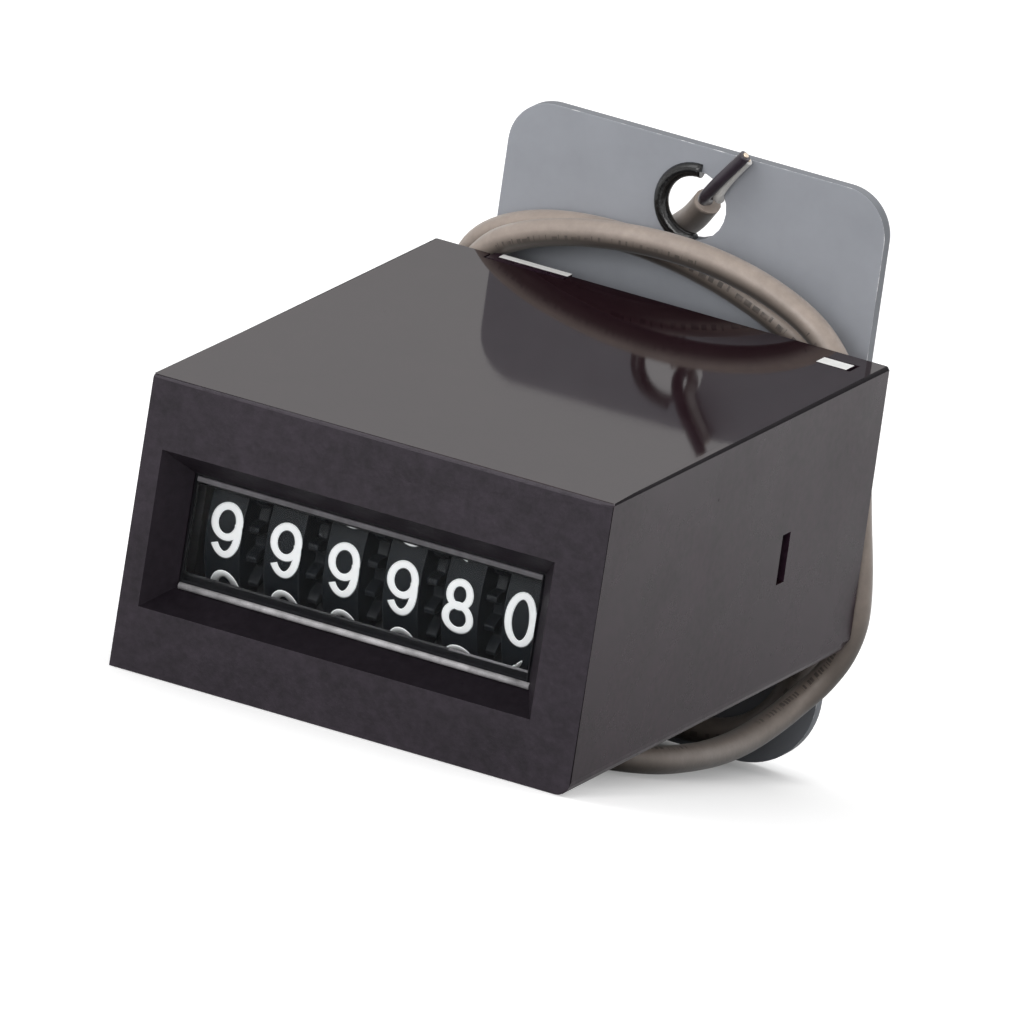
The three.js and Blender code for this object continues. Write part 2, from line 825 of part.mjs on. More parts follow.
function makeShafts() {
  add("wheel_shaft", rodX(shaftRadius, [-frameOuter, frameOuter], wheelY, wheelZ), steel);
  add("pinion_shaft", rodX(pinionShaftRadius, [-frameOuter, frameOuter], pinionY, pinionZ), steel);
  const leftWheelEnd = windowX - ((wheelCount - 1) / 2) * wheelPitch - rimWidth / 2;
  const spacers = {
    spacer_left: [-frameInner + runningFit, leftWheelEnd - runningFit],
    spacer_right: [starEnd + runningFit, frameInner - runningFit],
  };
  Object.entries(spacers).forEach(([name, x]) => {
    const ring = sidePlate(
      circle(spacerRadius, shaftSides, wheelY, wheelZ),
      x[0],
      x[1] - x[0],
      [circle(boreFor(shaftRadius), shaftSides, wheelY, wheelZ)],
    );
    add(name, ring, paleNylon);
  });
}

// Number wheels: a rim, with a gear on its right and a carry disc on its left

function wheelRim(x) {
  return sidePlate(
    circle(wheelRadius, wheelSides, wheelY, wheelZ),
    x - rimWidth / 2,
    rimWidth,
    [circle(boreFor(shaftRadius), shaftSides, wheelY, wheelZ)],
  );
}

function driveGear(x) {
  const firstTooth = pinionAngle + Math.PI / gearTeeth;
  const outline = gearOutline(
    gearTeeth,
    gearRoot,
    gearPitchRadius,
    gearTip,
    gearToothThickness,
    firstTooth,
  );
  const bore = circle(boreFor(shaftRadius), shaftSides, wheelY, wheelZ);
  const left = x + rimWidth / 2 - gearWidth / 2;
  return sidePlate(polar(outline, wheelY, wheelZ), left, gearWidth * 1.5, [bore]);
}

// The two teeth that push the next pinion, on a plain disc.
function carryDisc(x, middle) {
  const halfStep = Math.PI / gearTeeth;
  const list = [-halfStep, halfStep].flatMap((offset) =>
    tooth(carryRadius, gearPitchRadius, gearTip, carryToothThickness, middle + offset),
  );
  const restSteps = shaftSides - 2;
  const start = middle + 2 * halfStep;
  const sweep = 2 * Math.PI - 4 * halfStep;
  for (let i = 0; i <= restSteps; i += 1) {
    list.push([carryRadius, start + (i / restSteps) * sweep]);
  }
  const bore = circle(boreFor(shaftRadius), shaftSides, wheelY, wheelZ);
  const left = x - rimWidth / 2 - gearWidth;
  return sidePlate(polar(list, wheelY, wheelZ), left, gearWidth * 1.5, [bore]);
}

const orderNames = [
  "units",
  "tens",
  "hundreds",
  "thousands",
  "ten_thousands",
  "hundred_thousands",
];

function makeWheels() {
  orderNames.forEach((name, order) => {
    const x = unitsX - order * wheelPitch;
    const pieces = [wheelRim(x)];
    if (order > 0) pieces.push(driveGear(x));
    const carryAngle = pinionAngle + (order ? carryBeforeMesh : carryPastMesh);
    if (order < wheelCount - 1) pieces.push(carryDisc(x, carryAngle));
    add("number_wheel_" + name, joined(...pieces), wheelBlack);
  });
}

function makePinions() {
  const width = wheelPitch - rimWidth - 2 * pinionSideFit;
  const outline = gearOutline(
    pinionTeeth,
    pinionRoot,
    pinionPitchRadius,
    pinionTip,
    pinionToothThickness,
    pinionAngle + Math.PI,
  );
  const bore = circle(boreFor(pinionShaftRadius), shaftSides, pinionY, pinionZ);
  for (let order = 1; order < wheelCount; order += 1) {
    const left = unitsX - order * wheelPitch + rimWidth / 2 + pinionSideFit;
    const pinion = sidePlate(polar(outline, pinionY, pinionZ), left, width, [bore]);
    add("carry_pinion_" + order, pinion, paleNylon);
  }
}

// Star wheel: pointed teeth, with a gap at the very top and bottom
function makeStar() {
  const list = [];
  for (let i = 0; i < starTeeth; i += 1) {
    const gap = Math.PI / 2 + (i / starTeeth) * 2 * Math.PI;
    list.push([starRoot, gap], [starTip, gap + Math.PI / starTeeth]);
  }
  const bore = circle(boreFor(shaftRadius), shaftSides, wheelY, wheelZ);
  const star = sidePlate(polar(list, wheelY, wheelZ), starX, forkThickness, [bore]);
  add("star_wheel", star, paleNylon);
}

// Magnet: bobbin on a core, with a yoke that goes over its top

function makeMagnet() {
  const middle = (bobbinFront + bobbinRear) / 2;
  const flanges = [bobbinFront, bobbinRear - flangeThickness].map((y) =>
    block(around(0, flangeSize), [y, y + flangeThickness], around(magnetZ, flangeSize)),
  );
  const barrel = rodY(bobbinTube, 0, [bobbinFront, bobbinRear], magnetZ);
  const bore = rodY(
    coreRadius + coreFit,
    0,
    [bobbinFront - cutOverrun, bobbinRear + cutOverrun],
    magnetZ,
  );
  add("coil_bobbin", cut(joined(flanges[0], flanges[1], barrel), bore), paleNylon);

  const halfWinding = bobbinLength / 2 - flangeThickness - windingFit;
  const inner = bobbinTube + windingFit;
  const ring = new THREE.LatheGeometry(
    [
      new THREE.Vector2(inner, -halfWinding),
      new THREE.Vector2(windingRadius, -halfWinding),
      new THREE.Vector2(windingRadius, halfWinding),
      new THREE.Vector2(inner, halfWinding),
      new THREE.Vector2(inner, -halfWinding),
    ],
    shaftSides,
  );
  add("coil_winding", ring.translate(0, middle, magnetZ), copper);
  add("magnet_core", rodY(coreRadius, 0, [coreFront, yokeFront], magnetZ), steel);

  [-1, 1].forEach((side, i) => {
    const pin = rodY(pinRadius, side * pinHalfPitch, [bobbinRear, bobbinRear + pinLength], pinZ);
    add("terminal_pin_" + (i + 1), pin, brass);
  });
}

function makeYoke() {
  const legBottom = yokeTopZ - yokeLegThickness;
  const back = block(around(0, yokeWidth), [yokeFront, yokeRear], [floorTop, yokeTopZ]);
  const leg = block(
    around(0, yokeLegWidth),
    [coreFront, yokeFront + yokeThickness / 2],
    [legBottom, yokeTopZ],
  );
  const stakes = [-stakeHalfPitch, stakeHalfPitch].map((x) =>
    block(around(x, stakeWidth), [yokeFront, yokeRear], [frameBottom, floorTop + stakeWidth]),
  );
  const ears = [-1, 1].map((side) => {
    const outer = (side * yokeLegWidth) / 2;
    const inner = outer - side * earThickness;
    return block(
      [Math.min(inner, outer), Math.max(inner, outer)],
      [pivotY - earReach, coreFront + yokeThickness],
      [pivotZ - earReach, pivotZ + earReach],
    );
  });
  const pinWay = rodX(boreFor(pivotRadius), [-yokeLegWidth, yokeLegWidth], pivotY, pivotZ);
  add("magnet_yoke", cut(joined(back, leg, ...stakes, ...ears), pinWay), steel);
}

// Armature: a plate that hangs on its pin in front of the core, with an arm to the right

function makeArmature() {
  const halfWidth = armatureWidth / 2;
  const plate = block(
    [-halfWidth, halfWidth],
    [armatureFront, armatureRear],
    [armatureBottom, armatureTop],
  );
  const knuckle = rodX(knuckleRadius, [-halfWidth, halfWidth], pivotY, pivotZ);
  const arm = block(
    [halfWidth - armatureThickness, starEnd],
    [armatureFront, armatureRear],
    [forkArmBottom, forkArmTop],
  );
  const pinWay = rodX(boreFor(pivotRadius), [-yokeLegWidth, yokeLegWidth], pivotY, pivotZ);
  add("armature", cut(joined(plate, knuckle, arm), pinWay), steel);
  add(
    "armature_pin",
    rodX(pivotRadius, [-yokeLegWidth / 2, yokeLegWidth / 2], pivotY, pivotZ),
    steel,
  );
}

// Pallet fork: an arc round the star wheel with a pallet at each end
function makeFork() {
  const list = [];
  for (let i = 0; i <= forkArcSteps; i += 1) {
    list.push([forkOuter, -forkHalfSpan + (i / forkArcSteps) * 2 * forkHalfSpan]);
  }
  for (let i = forkArcSteps; i >= 0; i -= 1) {
    list.push([forkInner, -forkHalfSpan + (i / forkArcSteps) * 2 * forkHalfSpan]);
  }
  const arc = sidePlate(polar(list, wheelY, wheelZ), starX, forkThickness);
  const pallets = [-1, 1].map((side) => {
    const tip = wheelZ + side * (starTip + palletClear);
    const root = wheelZ + (side * (forkInner + forkOuter)) / 2;
    return block(
      [starX, starEnd],
      around(wheelY, palletWidth),
      [Math.min(tip, root), Math.max(tip, root)],
    );
  });
  const arm = block(
    [starX, starEnd],
    [wheelY + (forkInner + forkOuter) / 2, armatureFront],
    [forkArmBottom, forkArmTop],
  );
  add("pallet_fork", joined(arc, ...pallets, arm), brass);
}

function makeSpring() {
  const count = springTurns * springStepsPerTurn;
  const points = [];
  const start = armatureRear + springFit + springWire / 2;
  const run = springLength - springFit - springWire;
  for (let i = 0; i <= count; i += 1) {
    const angle = (i / springStepsPerTurn) * 2 * Math.PI;
    const x = springX + springRadius * Math.cos(angle);
    const z = springZ + springRadius * Math.sin(angle);
    points.push(new THREE.Vector3(x, start + (run * i) / count, z));
  }
  console.log("least gap of the return spring to itself, mm:", leastGap(points, springWire).toFixed(2));
  add("return_spring", tube(points, springWire, springSides, count), steel);
}

// Two leads from the terminal pins to the cable's cores inside the neck
function makeInnerLeads() {
  const pinEnd = bobbinRear + pinLength;
  const clearOfPin = pinEnd + innerLeadDiameter;
  const halfApart = innerLeadDiameter * 0.65;
  [-1, 1].forEach((side, i) => {
    const endX = grommetX + side * halfApart;
    const midX = (side * pinHalfPitch + endX) / 2;
    const route = [
      new THREE.Vector3(side * pinHalfPitch, clearOfPin, pinZ + pinRadius),
      new THREE.Vector3(side * pinHalfPitch, clearOfPin, pinZ + cableDiameter),
      new THREE.Vector3(midX, clearOfPin, (pinZ + leadHoleZ) / 2),
      new THREE.Vector3(endX, clearOfPin, leadHoleZ - cableDiameter / 2),
      new THREE.Vector3(endX, coverFront, leadHoleZ),
      new THREE.Vector3(endX, grommetY - cableDiameter / 2, leadHoleZ),
    ];
    add("inner_lead_" + (i + 1), tube(route, innerLeadDiameter, cableSides, 12), copper);
  });
}

makeCase();
makeLens();
makeCover();
makePlate();
makePlateScrews();
makeGrommet();
makeCable();
makeFrame();
makeShafts();
makeWheels();
makePinions();
makeStar();
makeMagnet();
makeYoke();
makeArmature();
makeFork();
makeSpring();
makeInnerLeads();

export default counter;
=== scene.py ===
"""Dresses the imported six-digit counter: case, window, number wheels, plate, cable and what is inside."""

import json
import math

import bmesh
import bpy
from bpy.props import FloatProperty, FloatVectorProperty, IntProperty, IntVectorProperty, PointerProperty
from bpy.types import Operator, Panel, PropertyGroup
from mathutils import Matrix, Vector

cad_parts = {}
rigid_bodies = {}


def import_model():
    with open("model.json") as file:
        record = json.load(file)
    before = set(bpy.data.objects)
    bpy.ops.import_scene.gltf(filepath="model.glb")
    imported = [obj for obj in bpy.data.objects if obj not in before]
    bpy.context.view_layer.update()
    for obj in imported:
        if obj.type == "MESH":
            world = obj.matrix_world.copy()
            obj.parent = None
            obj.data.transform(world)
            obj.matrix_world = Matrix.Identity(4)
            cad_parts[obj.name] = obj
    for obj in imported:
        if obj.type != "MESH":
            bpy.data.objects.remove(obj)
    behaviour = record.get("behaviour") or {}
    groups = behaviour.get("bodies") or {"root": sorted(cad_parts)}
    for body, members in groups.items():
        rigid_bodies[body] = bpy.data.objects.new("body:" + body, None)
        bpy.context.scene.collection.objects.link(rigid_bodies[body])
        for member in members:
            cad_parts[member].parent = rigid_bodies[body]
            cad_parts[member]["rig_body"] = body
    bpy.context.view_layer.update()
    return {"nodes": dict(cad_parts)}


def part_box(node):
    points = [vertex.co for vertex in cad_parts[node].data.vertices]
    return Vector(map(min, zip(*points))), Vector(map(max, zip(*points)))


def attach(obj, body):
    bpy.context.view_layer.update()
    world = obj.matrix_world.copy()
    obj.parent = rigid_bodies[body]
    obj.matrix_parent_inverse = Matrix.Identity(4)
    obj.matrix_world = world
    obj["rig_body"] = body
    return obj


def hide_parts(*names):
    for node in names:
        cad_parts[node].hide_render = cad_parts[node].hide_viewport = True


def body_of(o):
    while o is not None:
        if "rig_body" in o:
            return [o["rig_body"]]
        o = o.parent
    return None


bl_info = {
    "name": "Six-digit counter",
    "version": (1, 0, 0),
    "blender": (4, 5, 0),
    "location": "View3D > Sidebar > Counter",
    "description": "Builds the visible pieces of a small electromagnetic counter over its packed frame",
    "category": "Object",
}

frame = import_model()
MM = 0.001
FRONT_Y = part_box("case_shell")[0].y
CASE_TOP_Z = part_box("case_shell")[1].z
CASE_LOW_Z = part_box("case_shell")[0].z
# How far the case's front leans forward at its foot, and how far all of it stands forward.
FRONT_LEAN = 0.6 * MM
FRONT_REACH = 0.35 * MM
LEAN_START_Y = FRONT_Y + 5 * MM
LEAN_FADE = 2 * MM
REACH_START_Y = FRONT_Y + 1.5 * MM
REACH_FADE = 0.5 * MM
TOP_CUTS_Y = (-9 * MM, -25 * MM)
LOW_EDGE_RADIUS = 0.36 * MM
INNER_EDGE_RADIUS = 0.12 * MM
FLAT_AREA = 2e-6
LATCH_Y = -5.25 * MM
LATCH_X = -11.35 * MM
LATCH_DEPTH = 0.45 * MM
RECESS_DEPTH = 2.3 * MM
RECESS_HALF_WIDTH = 14.7 * MM
RECESS_HALF_HEIGHT = 6 * MM
# The border's opening: left, right, bottom and top.
OPENING = (-13.3 * MM, 11.3 * MM, -3.45 * MM, 2.3 * MM)
# Right of this, the border's lower edge carries a painted highlight.
LIT_FROM_X = 5.1 * MM
PANE_SKIN = 0.09 * MM
# The pane's lower band is painted shade and its upper band a painted highlight.
PANE_LOW_BAND = 0.3 * MM
PANE_HIGH_BAND = 0.24 * MM
# The bead is a painted highlight along the window's lower edge.
BEAD_X = (-13.05, -7, 0, 7, 11.35)
BEAD_DIAMETER = 0.44 * MM
PLATE_HOLES_Z = (14.85 * MM, -15.85 * MM)
BUSH_RADIUS = 2.3 * MM
BUSH_DIAMETER = 0.95 * MM
SPRING_WIRE = 0.3 * MM
SPRING_INSET = 0.18 * MM
SPRING_TURNS = 8
GEAR_WIDTH = 0.6998 * MM
WHEEL_LOW, WHEEL_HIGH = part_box("number_wheel_units")
WHEEL_Y = (WHEEL_LOW.y + WHEEL_HIGH.y) / 2
WHEEL_Z = (WHEEL_LOW.z + WHEEL_HIGH.z) / 2
WHEEL_RADIUS = (WHEEL_HIGH.z - WHEEL_LOW.z) / 2
PRINT_TOP = 0.018 * MM
PRINT_SIDE = 0.002 * MM
PRINT_BASE = -0.035 * MM
ORDERS = ("units", "tens", "hundreds", "thousands", "ten_thousands", "hundred_thousands")
# How far each wheel's print is turned, in degrees, and shifted, in millimetres, from the left.
DIGIT_PLAY = (0.8, -1.0, -2.4, -2.9, -3.9, -1.6)
DIGIT_ASIDE = (0.14, 0.16, 0.09, 0.05, -0.14, 0)
LAMPS = (
    ("Key lamp", (-0.35, -0.45, 0.6), 1.5),
    ("Fill lamp", (0.6, -0.3, 0.45), 0.6),
    ("Front lamp", (0.1, -0.8, 0.25), 3.5),
    ("Rim lamp", (0.1, 0.6, 0.6), 0.9),
)
LAMP_SIZE = 0.5

# The cable's route in millimetres: from the grommet round the neck and forward under the case.
LEAD_ROUTE = (
    (4, -3.3, -6.95), (4, -3.3, -9.1), (3.4, -3.5, -11), (1.5, -3.8, -12.8), (-1.4, -3.94, -13.7),
    (-4.8, -3.94, -13.7), (-8.2, -3.94, -12.6), (-11, -3.94, -10.5), (-13, -3.94, -7.5),
    (-14, -3.94, -3.9), (-14.4, -3.94, 0), (-14.5, -3.94, 3.8), (-14, -3.94, 7.2),
    (-12.5, -3.94, 9.6), (-10.2, -3.94, 11), (-7, -3.94, 12), (-3.4, -3.94, 12.6),
    (0.4, -3.94, 12.75), (4, -3.94, 12.4), (7.4, -3.94, 11.5), (10.2, -3.94, 10.1),
    (12.2, -3.94, 8), (13.5, -3.9, 5.2), (14.3, -3.9, 2), (14.9, -3.9, -1.4),
    (15.5, -3.92, -4.8), (15.7, -3.98, -7.6), (15.2, -4.08, -9.9), (14.3, -4.6, -11.8),
    (13.4, -5.9, -13.2), (12.9, -8.1, -14.1), (12.6, -11.2, -14.6), (12.5, -15, -14.5),
    (12.3, -19, -14), (11.6, -22.8, -13.4), (9.6, -26, -12.8), (6.2, -27.9, -12.35),
    (1.8, -28.5, -12.2), (-2.8, -28, -12.15), (-8, -26.6, -12.15), (-12, -24, -12.3),
    (-14.4, -19.6, -12.4), (-15.6, -14.6, -12.5), (-16.2, -9.8, -12.4), (-16.4, -5.6, -11.6),
    (-16.3, -3.2, -9.4), (-16, -2.3, -6.2), (-15.6, -2.05, -2.4), (-15.2, -2.02, 1.4),
    (-15.03, -2.02, 5),
)
# From the wound turn's end up behind the plate and out through its hole.
TAIL_ROUTE = (
    (-8.2, -2.02, -16.3), (-11.2, -2.02, -15), (-13.4, -2.02, -13.3), (-15, -1.98, -11.5),
    (-15.9, -1.4, -9.9), (-16.3, -0.5, -8), (-16.3, 0.4, -5.6), (-15.6, 1.3, -2.8),
    (-14.2, 1.75, -0.4), (-12.2, 1.8, 1.7), (-9.4, 1.8, 4.6), (-6.6, 1.8, 7.6),
    (-4.4, 1.75, 10), (-2.6, 1.5, 12.1), (-1.3, 1, 13.4), (-0.2, 0.35, 14.9),
)
BLACK_CORE_ROUTE = (
    (0, -0.21, 15.18), (0.15, -1.15, 15.45), (0.65, -1.95, 16.1), (1.4, -2.35, 17.1),
    (2.25, -2.42, 18.25), (3.1, -2.42, 19.4),
)
WHITE_CORE_ROUTE = (
    (0.17, 0.6, 15.4), (0.62, 0.05, 15.6), (0.98, -0.72, 15.68), (1.18, -1.4, 16.15),
    (1.6, -1.48, 17), (2.2, -1.48, 17.95), (2.85, -1.48, 18.85),
)


def in_mm(name, description, default, low, high):
    """A setting that is a length, given in millimetres."""
    return FloatProperty(
        name=name, description=description, default=default * MM, min=low * MM, max=high * MM, unit="LENGTH",
    )


def tint(name, description, default):
    """A setting that is a colour."""
    return FloatVectorProperty(
        name=name, description=description, default=default, subtype="COLOR", size=3, min=0, max=1,
    )


class CounterCase(PropertyGroup):
    """Case moulding: its colour, its polish and how its edges are rounded."""

    moulding: tint("Moulding", "Colour of the case's moulding", (0.0205, 0.0148, 0.0218))
    gloss: FloatProperty(
        name="Polish", description="Roughness of the polished top",
        default=0.045, min=0.02, max=1, subtype="FACTOR",
    )
    edge_radius: in_mm("Edge radius", "Rounding of the edges round the case's top", 0.22, 0.05, 0.3)
    corner_radius: in_mm("Corner radius", "Rounding of the case's long lower edge at the right", 1, 0.3, 1.5)


class CounterNumbers(PropertyGroup):
    """What is printed on the number wheels."""

    reading: IntVectorProperty(
        name="Reading", description="Digits that show in the window, from the left",
        size=6, min=0, max=9, default=(9, 9, 9, 9, 8, 0),
    )
    height: in_mm("Digit height", "Height of the printed digits", 3.7, 2, 4.4)
    width: in_mm("Digit width", "Width of a printed zero", 2.2, 1, 2.4)
    stroke: in_mm("Stroke", "Thickness of a digit's line", 0.52, 0.2, 0.7)
    ink: tint("Ink", "Colour of the printed digits", (0.95, 0.97, 0.98))


class CounterCable(PropertyGroup):
    """Cable and its two cores."""

    diameter: in_mm("Diameter", "Outer diameter of the cable's jacket", 1.8, 1, 3)
    core_diameter: in_mm("Core diameter", "Diameter of each insulated core", 0.76, 0.4, 1.2)
    jacket: tint("Jacket", "Colour of the cable's jacket", (0.37, 0.305, 0.262))


class CounterPlate(PropertyGroup):
    """Mounting plate: its plating and how its edges are rounded."""

    metal: tint("Plating", "Colour of the plated sheet", (0.345, 0.36, 0.395))
    edge_radius: in_mm("Edge radius", "Rounding of the sheet's punched edges", 0.2, 0.02, 0.4)


class CounterStage(PropertyGroup):
    """Camera, floor and light."""

    focal_length: FloatProperty(
        name="Lens", description="Focal length of the camera",
        default=1329.4, min=50, max=5000, unit="CAMERA",
    )
    floor_size: in_mm("Floor size", "Radius of the pale floor", 1600, 100, 5000)
    floor_sides: IntProperty(
        name="Sides", description="Sides of the round floor", default=64, min=8, max=256,
    )
    surround: FloatProperty(
        name="Surround", description="Strength of the plain white surround on the object",
        default=0.62, min=0, max=2,
    )
    floor_lift: FloatProperty(
        name="Floor lift", description="Plain white that is added to the floor as it is seen",
        default=0.4, min=0, max=1,
    )


# Shader node groups


def new_group(name, inputs, outputs):
    """An empty shader node group with named sockets, and its input and output nodes."""
    tree = bpy.data.node_groups.new(name, "ShaderNodeTree")
    for label, kind, default in inputs:
        socket = tree.interface.new_socket(label, in_out="INPUT", socket_type=kind)
        if default is not None:
            socket.default_value = default
    for label, kind in outputs:
        tree.interface.new_socket(label, in_out="OUTPUT", socket_type=kind)
    return tree, tree.nodes.new("NodeGroupInput"), tree.nodes.new("NodeGroupOutput")


def feed(tree, socket, term):
    """Links a socket to another one, or sets its value; a colour is three numbers."""
    if hasattr(term, "links"):
        tree.links.new(term, socket)
    else:
        socket.default_value = (*term, 1) if socket.type == "RGBA" else term


def math_node(tree, operation, first, second=None, third=None, clamp=False):
    """A Math node's output; each term is a socket or a number."""
    node = tree.nodes.new("ShaderNodeMath")
    node.operation = operation
    node.use_clamp = clamp
    for index, term in enumerate((first, second, third)):
        if term is not None:
            feed(tree, node.inputs[index], term)
    return node.outputs[0]


def times(tree, first, second, clamp=False):
    """The product of two terms."""
    return math_node(tree, "MULTIPLY", first, second, clamp=clamp)


def times_plus(tree, first, second, third, clamp=False):
    """The product of two terms, and a third added."""
    return math_node(tree, "MULTIPLY_ADD", first, second, third, clamp)


def parts_of(tree, vector):
    """The X, Y and Z sockets of a vector."""
    node = tree.nodes.new("ShaderNodeSeparateXYZ")
    tree.links.new(vector, node.inputs["Vector"])
    return node.outputs


def facing_up(tree):
    """How far the surface faces up, from -1 to 1."""
    return parts_of(tree, tree.nodes.new("ShaderNodeNewGeometry").outputs["Normal"])["Z"]


def noise(tree, vector, scale, detail=3.0, roughness=0.5):
    """The value of a Noise texture."""
    node = tree.nodes.new("ShaderNodeTexNoise")
    node.inputs["Detail"].default_value = detail
    node.inputs["Roughness"].default_value = roughness
    tree.links.new(vector, node.inputs["Vector"])
    feed(tree, node.inputs["Scale"], scale)
    return node.outputs["Fac"]


def ramp(tree, value, low, high):
    """Value stretched from between low and high to between 0 and 1."""
    node = tree.nodes.new("ShaderNodeMapRange")
    tree.links.new(value, node.inputs["Value"])
    node.inputs["From Min"].default_value = low
    node.inputs["From Max"].default_value = high
    return node.outputs["Result"]


def mix_colour(tree, factor, first, second):
    """Two colours mixed; each is a socket or three numbers."""
    node = tree.nodes.new("ShaderNodeMix")
    node.data_type = "RGBA"
    tree.links.new(factor, node.inputs["Factor"])
    feed(tree, node.inputs[6], first)
    feed(tree, node.inputs[7], second)
    return node.outputs[2]


def make_grain_group():
    """Fine grain of a moulded or blasted surface."""
    tree, source, sink = new_group(
        "Fine grain",
        [("Vector", "NodeSocketVector", None), ("Scale", "NodeSocketFloat", 4000.0)],
        [("Height", "NodeSocketFloat"), ("Tone", "NodeSocketFloat")],
    )
    vector, scale = source.outputs["Vector"], source.outputs["Scale"]
    fine = noise(tree, vector, scale, 4.0, 0.6)
    cells = tree.nodes.new("ShaderNodeTexVoronoi")
    tree.links.new(vector, cells.inputs["Vector"])
    tree.links.new(scale, cells.inputs["Scale"])
    height = times_plus(tree, cells.outputs["Distance"], 0.45, fine)
    broad = noise(tree, vector, times(tree, scale, 0.07), 5.0, 0.62)
    middling = noise(tree, vector, times(tree, scale, 0.6), 3.0, 0.6)
    tone = times_plus(tree, middling, 0.55, times(tree, broad, 0.45))
    tree.links.new(height, sink.inputs["Height"])
    tree.links.new(tone, sink.inputs["Tone"])
    return tree


def make_wear_group():
    """Where a rounded edge is rubbed bright, from the piece's own edge mark."""
    tree, source, sink = new_group(
        "Edge wear",
        [
            ("Vector", "NodeSocketVector", None),
            ("Scale", "NodeSocketFloat", 900.0),
            ("Amount", "NodeSocketFloat", 0.5),
        ],
        [("Mask", "NodeSocketFloat")],
    )
    mark = tree.nodes.new("ShaderNodeAttribute")
    mark.attribute_name = "edge"
    patch = noise(tree, source.outputs["Vector"], source.outputs["Scale"], 5.0, 0.7)
    level = math_node(tree, "SUBTRACT", 1.0, source.outputs["Amount"])
    above = math_node(tree, "SUBTRACT", patch, times(tree, level, 0.7))
    sharp = times(tree, above, 7.0, clamp=True)
    tree.links.new(times(tree, sharp, mark.outputs["Fac"]), sink.inputs["Mask"])
    return tree


def make_smudge_group():
    """Handling marks: soft blotches and a little dust, for roughness."""
    tree, source, sink = new_group(
        "Handling",
        [("Vector", "NodeSocketVector", None), ("Scale", "NodeSocketFloat", 90.0)],
        [("Smudge", "NodeSocketFloat"), ("Dust", "NodeSocketFloat")],
    )
    vector, scale = source.outputs["Vector"], source.outputs["Scale"]
    soft = noise(tree, vector, scale, 6.0, 0.65)
    specks = tree.nodes.new("ShaderNodeTexVoronoi")
    tree.links.new(vector, specks.inputs["Vector"])
    tree.links.new(times(tree, scale, 9.0), specks.inputs["Scale"])
    near = ramp(tree, specks.outputs["Distance"], 0.1, 0.04)
    keep = ramp(tree, noise(tree, vector, times(tree, scale, 3.0)), 0.6, 0.68)
    tree.links.new(ramp(tree, soft, 0.38, 0.72), sink.inputs["Smudge"])
    tree.links.new(times(tree, near, keep), sink.inputs["Dust"])
    return tree


def make_brush_group():
    """Fine parallel scratches along one axis, which the vector's own stretch sets."""
    tree, source, sink = new_group(
        "Brushed lines",
        [("Vector", "NodeSocketVector", None), ("Scale", "NodeSocketFloat", 1500.0)],
        [("Height", "NodeSocketFloat"), ("Tone", "NodeSocketFloat")],
    )
    fine = noise(tree, source.outputs["Vector"], source.outputs["Scale"], 3.0, 0.55)
    scale = times(tree, source.outputs["Scale"], 0.25)
    coarse = noise(tree, source.outputs["Vector"], scale, 4.0, 0.6)
    tree.links.new(times_plus(tree, coarse, 0.5, fine), sink.inputs["Height"])
    tree.links.new(coarse, sink.inputs["Tone"])
    return tree


def group_in(tree, name, vector, **values):
    """A node group placed in a material with its own values."""
    node = tree.nodes.new("ShaderNodeGroup")
    node.node_tree = bpy.data.node_groups[name]
    tree.links.new(vector, node.inputs["Vector"])
    for label, value in values.items():
        node.inputs[label].default_value = value
    return node


def new_material(name, **values):
    """A material with a Principled BSDF; plain values are set on its own sockets."""
    material = bpy.data.materials.new(name)
    material.use_nodes = True
    tree = material.node_tree
    shader = tree.nodes["Principled BSDF"]
    for label, value in values.items():
        feed(tree, shader.inputs[label.replace("_", " ")], value)
    return material, tree, shader


def object_vector(tree, stretch=(1, 1, 1)):
    """Object coordinates, stretched."""
    coordinates = tree.nodes.new("ShaderNodeTexCoord")
    mapping = tree.nodes.new("ShaderNodeMapping")
    mapping.inputs["Scale"].default_value = stretch
    tree.links.new(coordinates.outputs["Object"], mapping.inputs["Vector"])
    return mapping.outputs["Vector"]


def bump(tree, shader, height, distance, strength=1.0):
    """A Bump node between a height and the shader's normal."""
    node = tree.nodes.new("ShaderNodeBump")
    node.inputs["Strength"].default_value = strength
    node.inputs["Distance"].default_value = distance
    tree.links.new(height, node.inputs["Height"])
    tree.links.new(node.outputs["Normal"], shader.inputs["Normal"])
    return node


def moulded(name, colour, rough, grain_scale, grain_depth, tone=0.12, wear=0.25, spread=0.1, **values):
    """Moulded plastic: tone that drifts, fine grain, handling marks and rubbed edges."""
    material, tree, shader = new_material(name, **values)
    vector = object_vector(tree)
    grain = group_in(tree, "Fine grain", vector, Scale=grain_scale)
    marks = group_in(tree, "Handling", vector)
    rubbed = group_in(tree, "Edge wear", vector, Amount=wear)
    light = tuple(min(1, c * (1 + tone) + 0.002) for c in colour)
    dark = tuple(c * (1 - tone) for c in colour)
    base = mix_colour(tree, ramp(tree, grain.outputs["Tone"], 0.36, 0.64), dark, light)
    bright = tuple(min(1, c * 1.6 + 0.02) for c in colour)
    wear_and_painted_shade = mix_colour(tree, times(tree, rubbed.outputs["Mask"], 0.6), base, bright)
    tree.links.new(wear_and_painted_shade, shader.inputs["Base Color"])
    smudge = times_plus(tree, marks.outputs["Smudge"], spread, rough)
    dusty = times_plus(tree, marks.outputs["Dust"], 0.3, smudge, clamp=True)
    tree.links.new(dusty, shader.inputs["Roughness"])
    bump(tree, shader, grain.outputs["Height"], grain_depth)
    return material


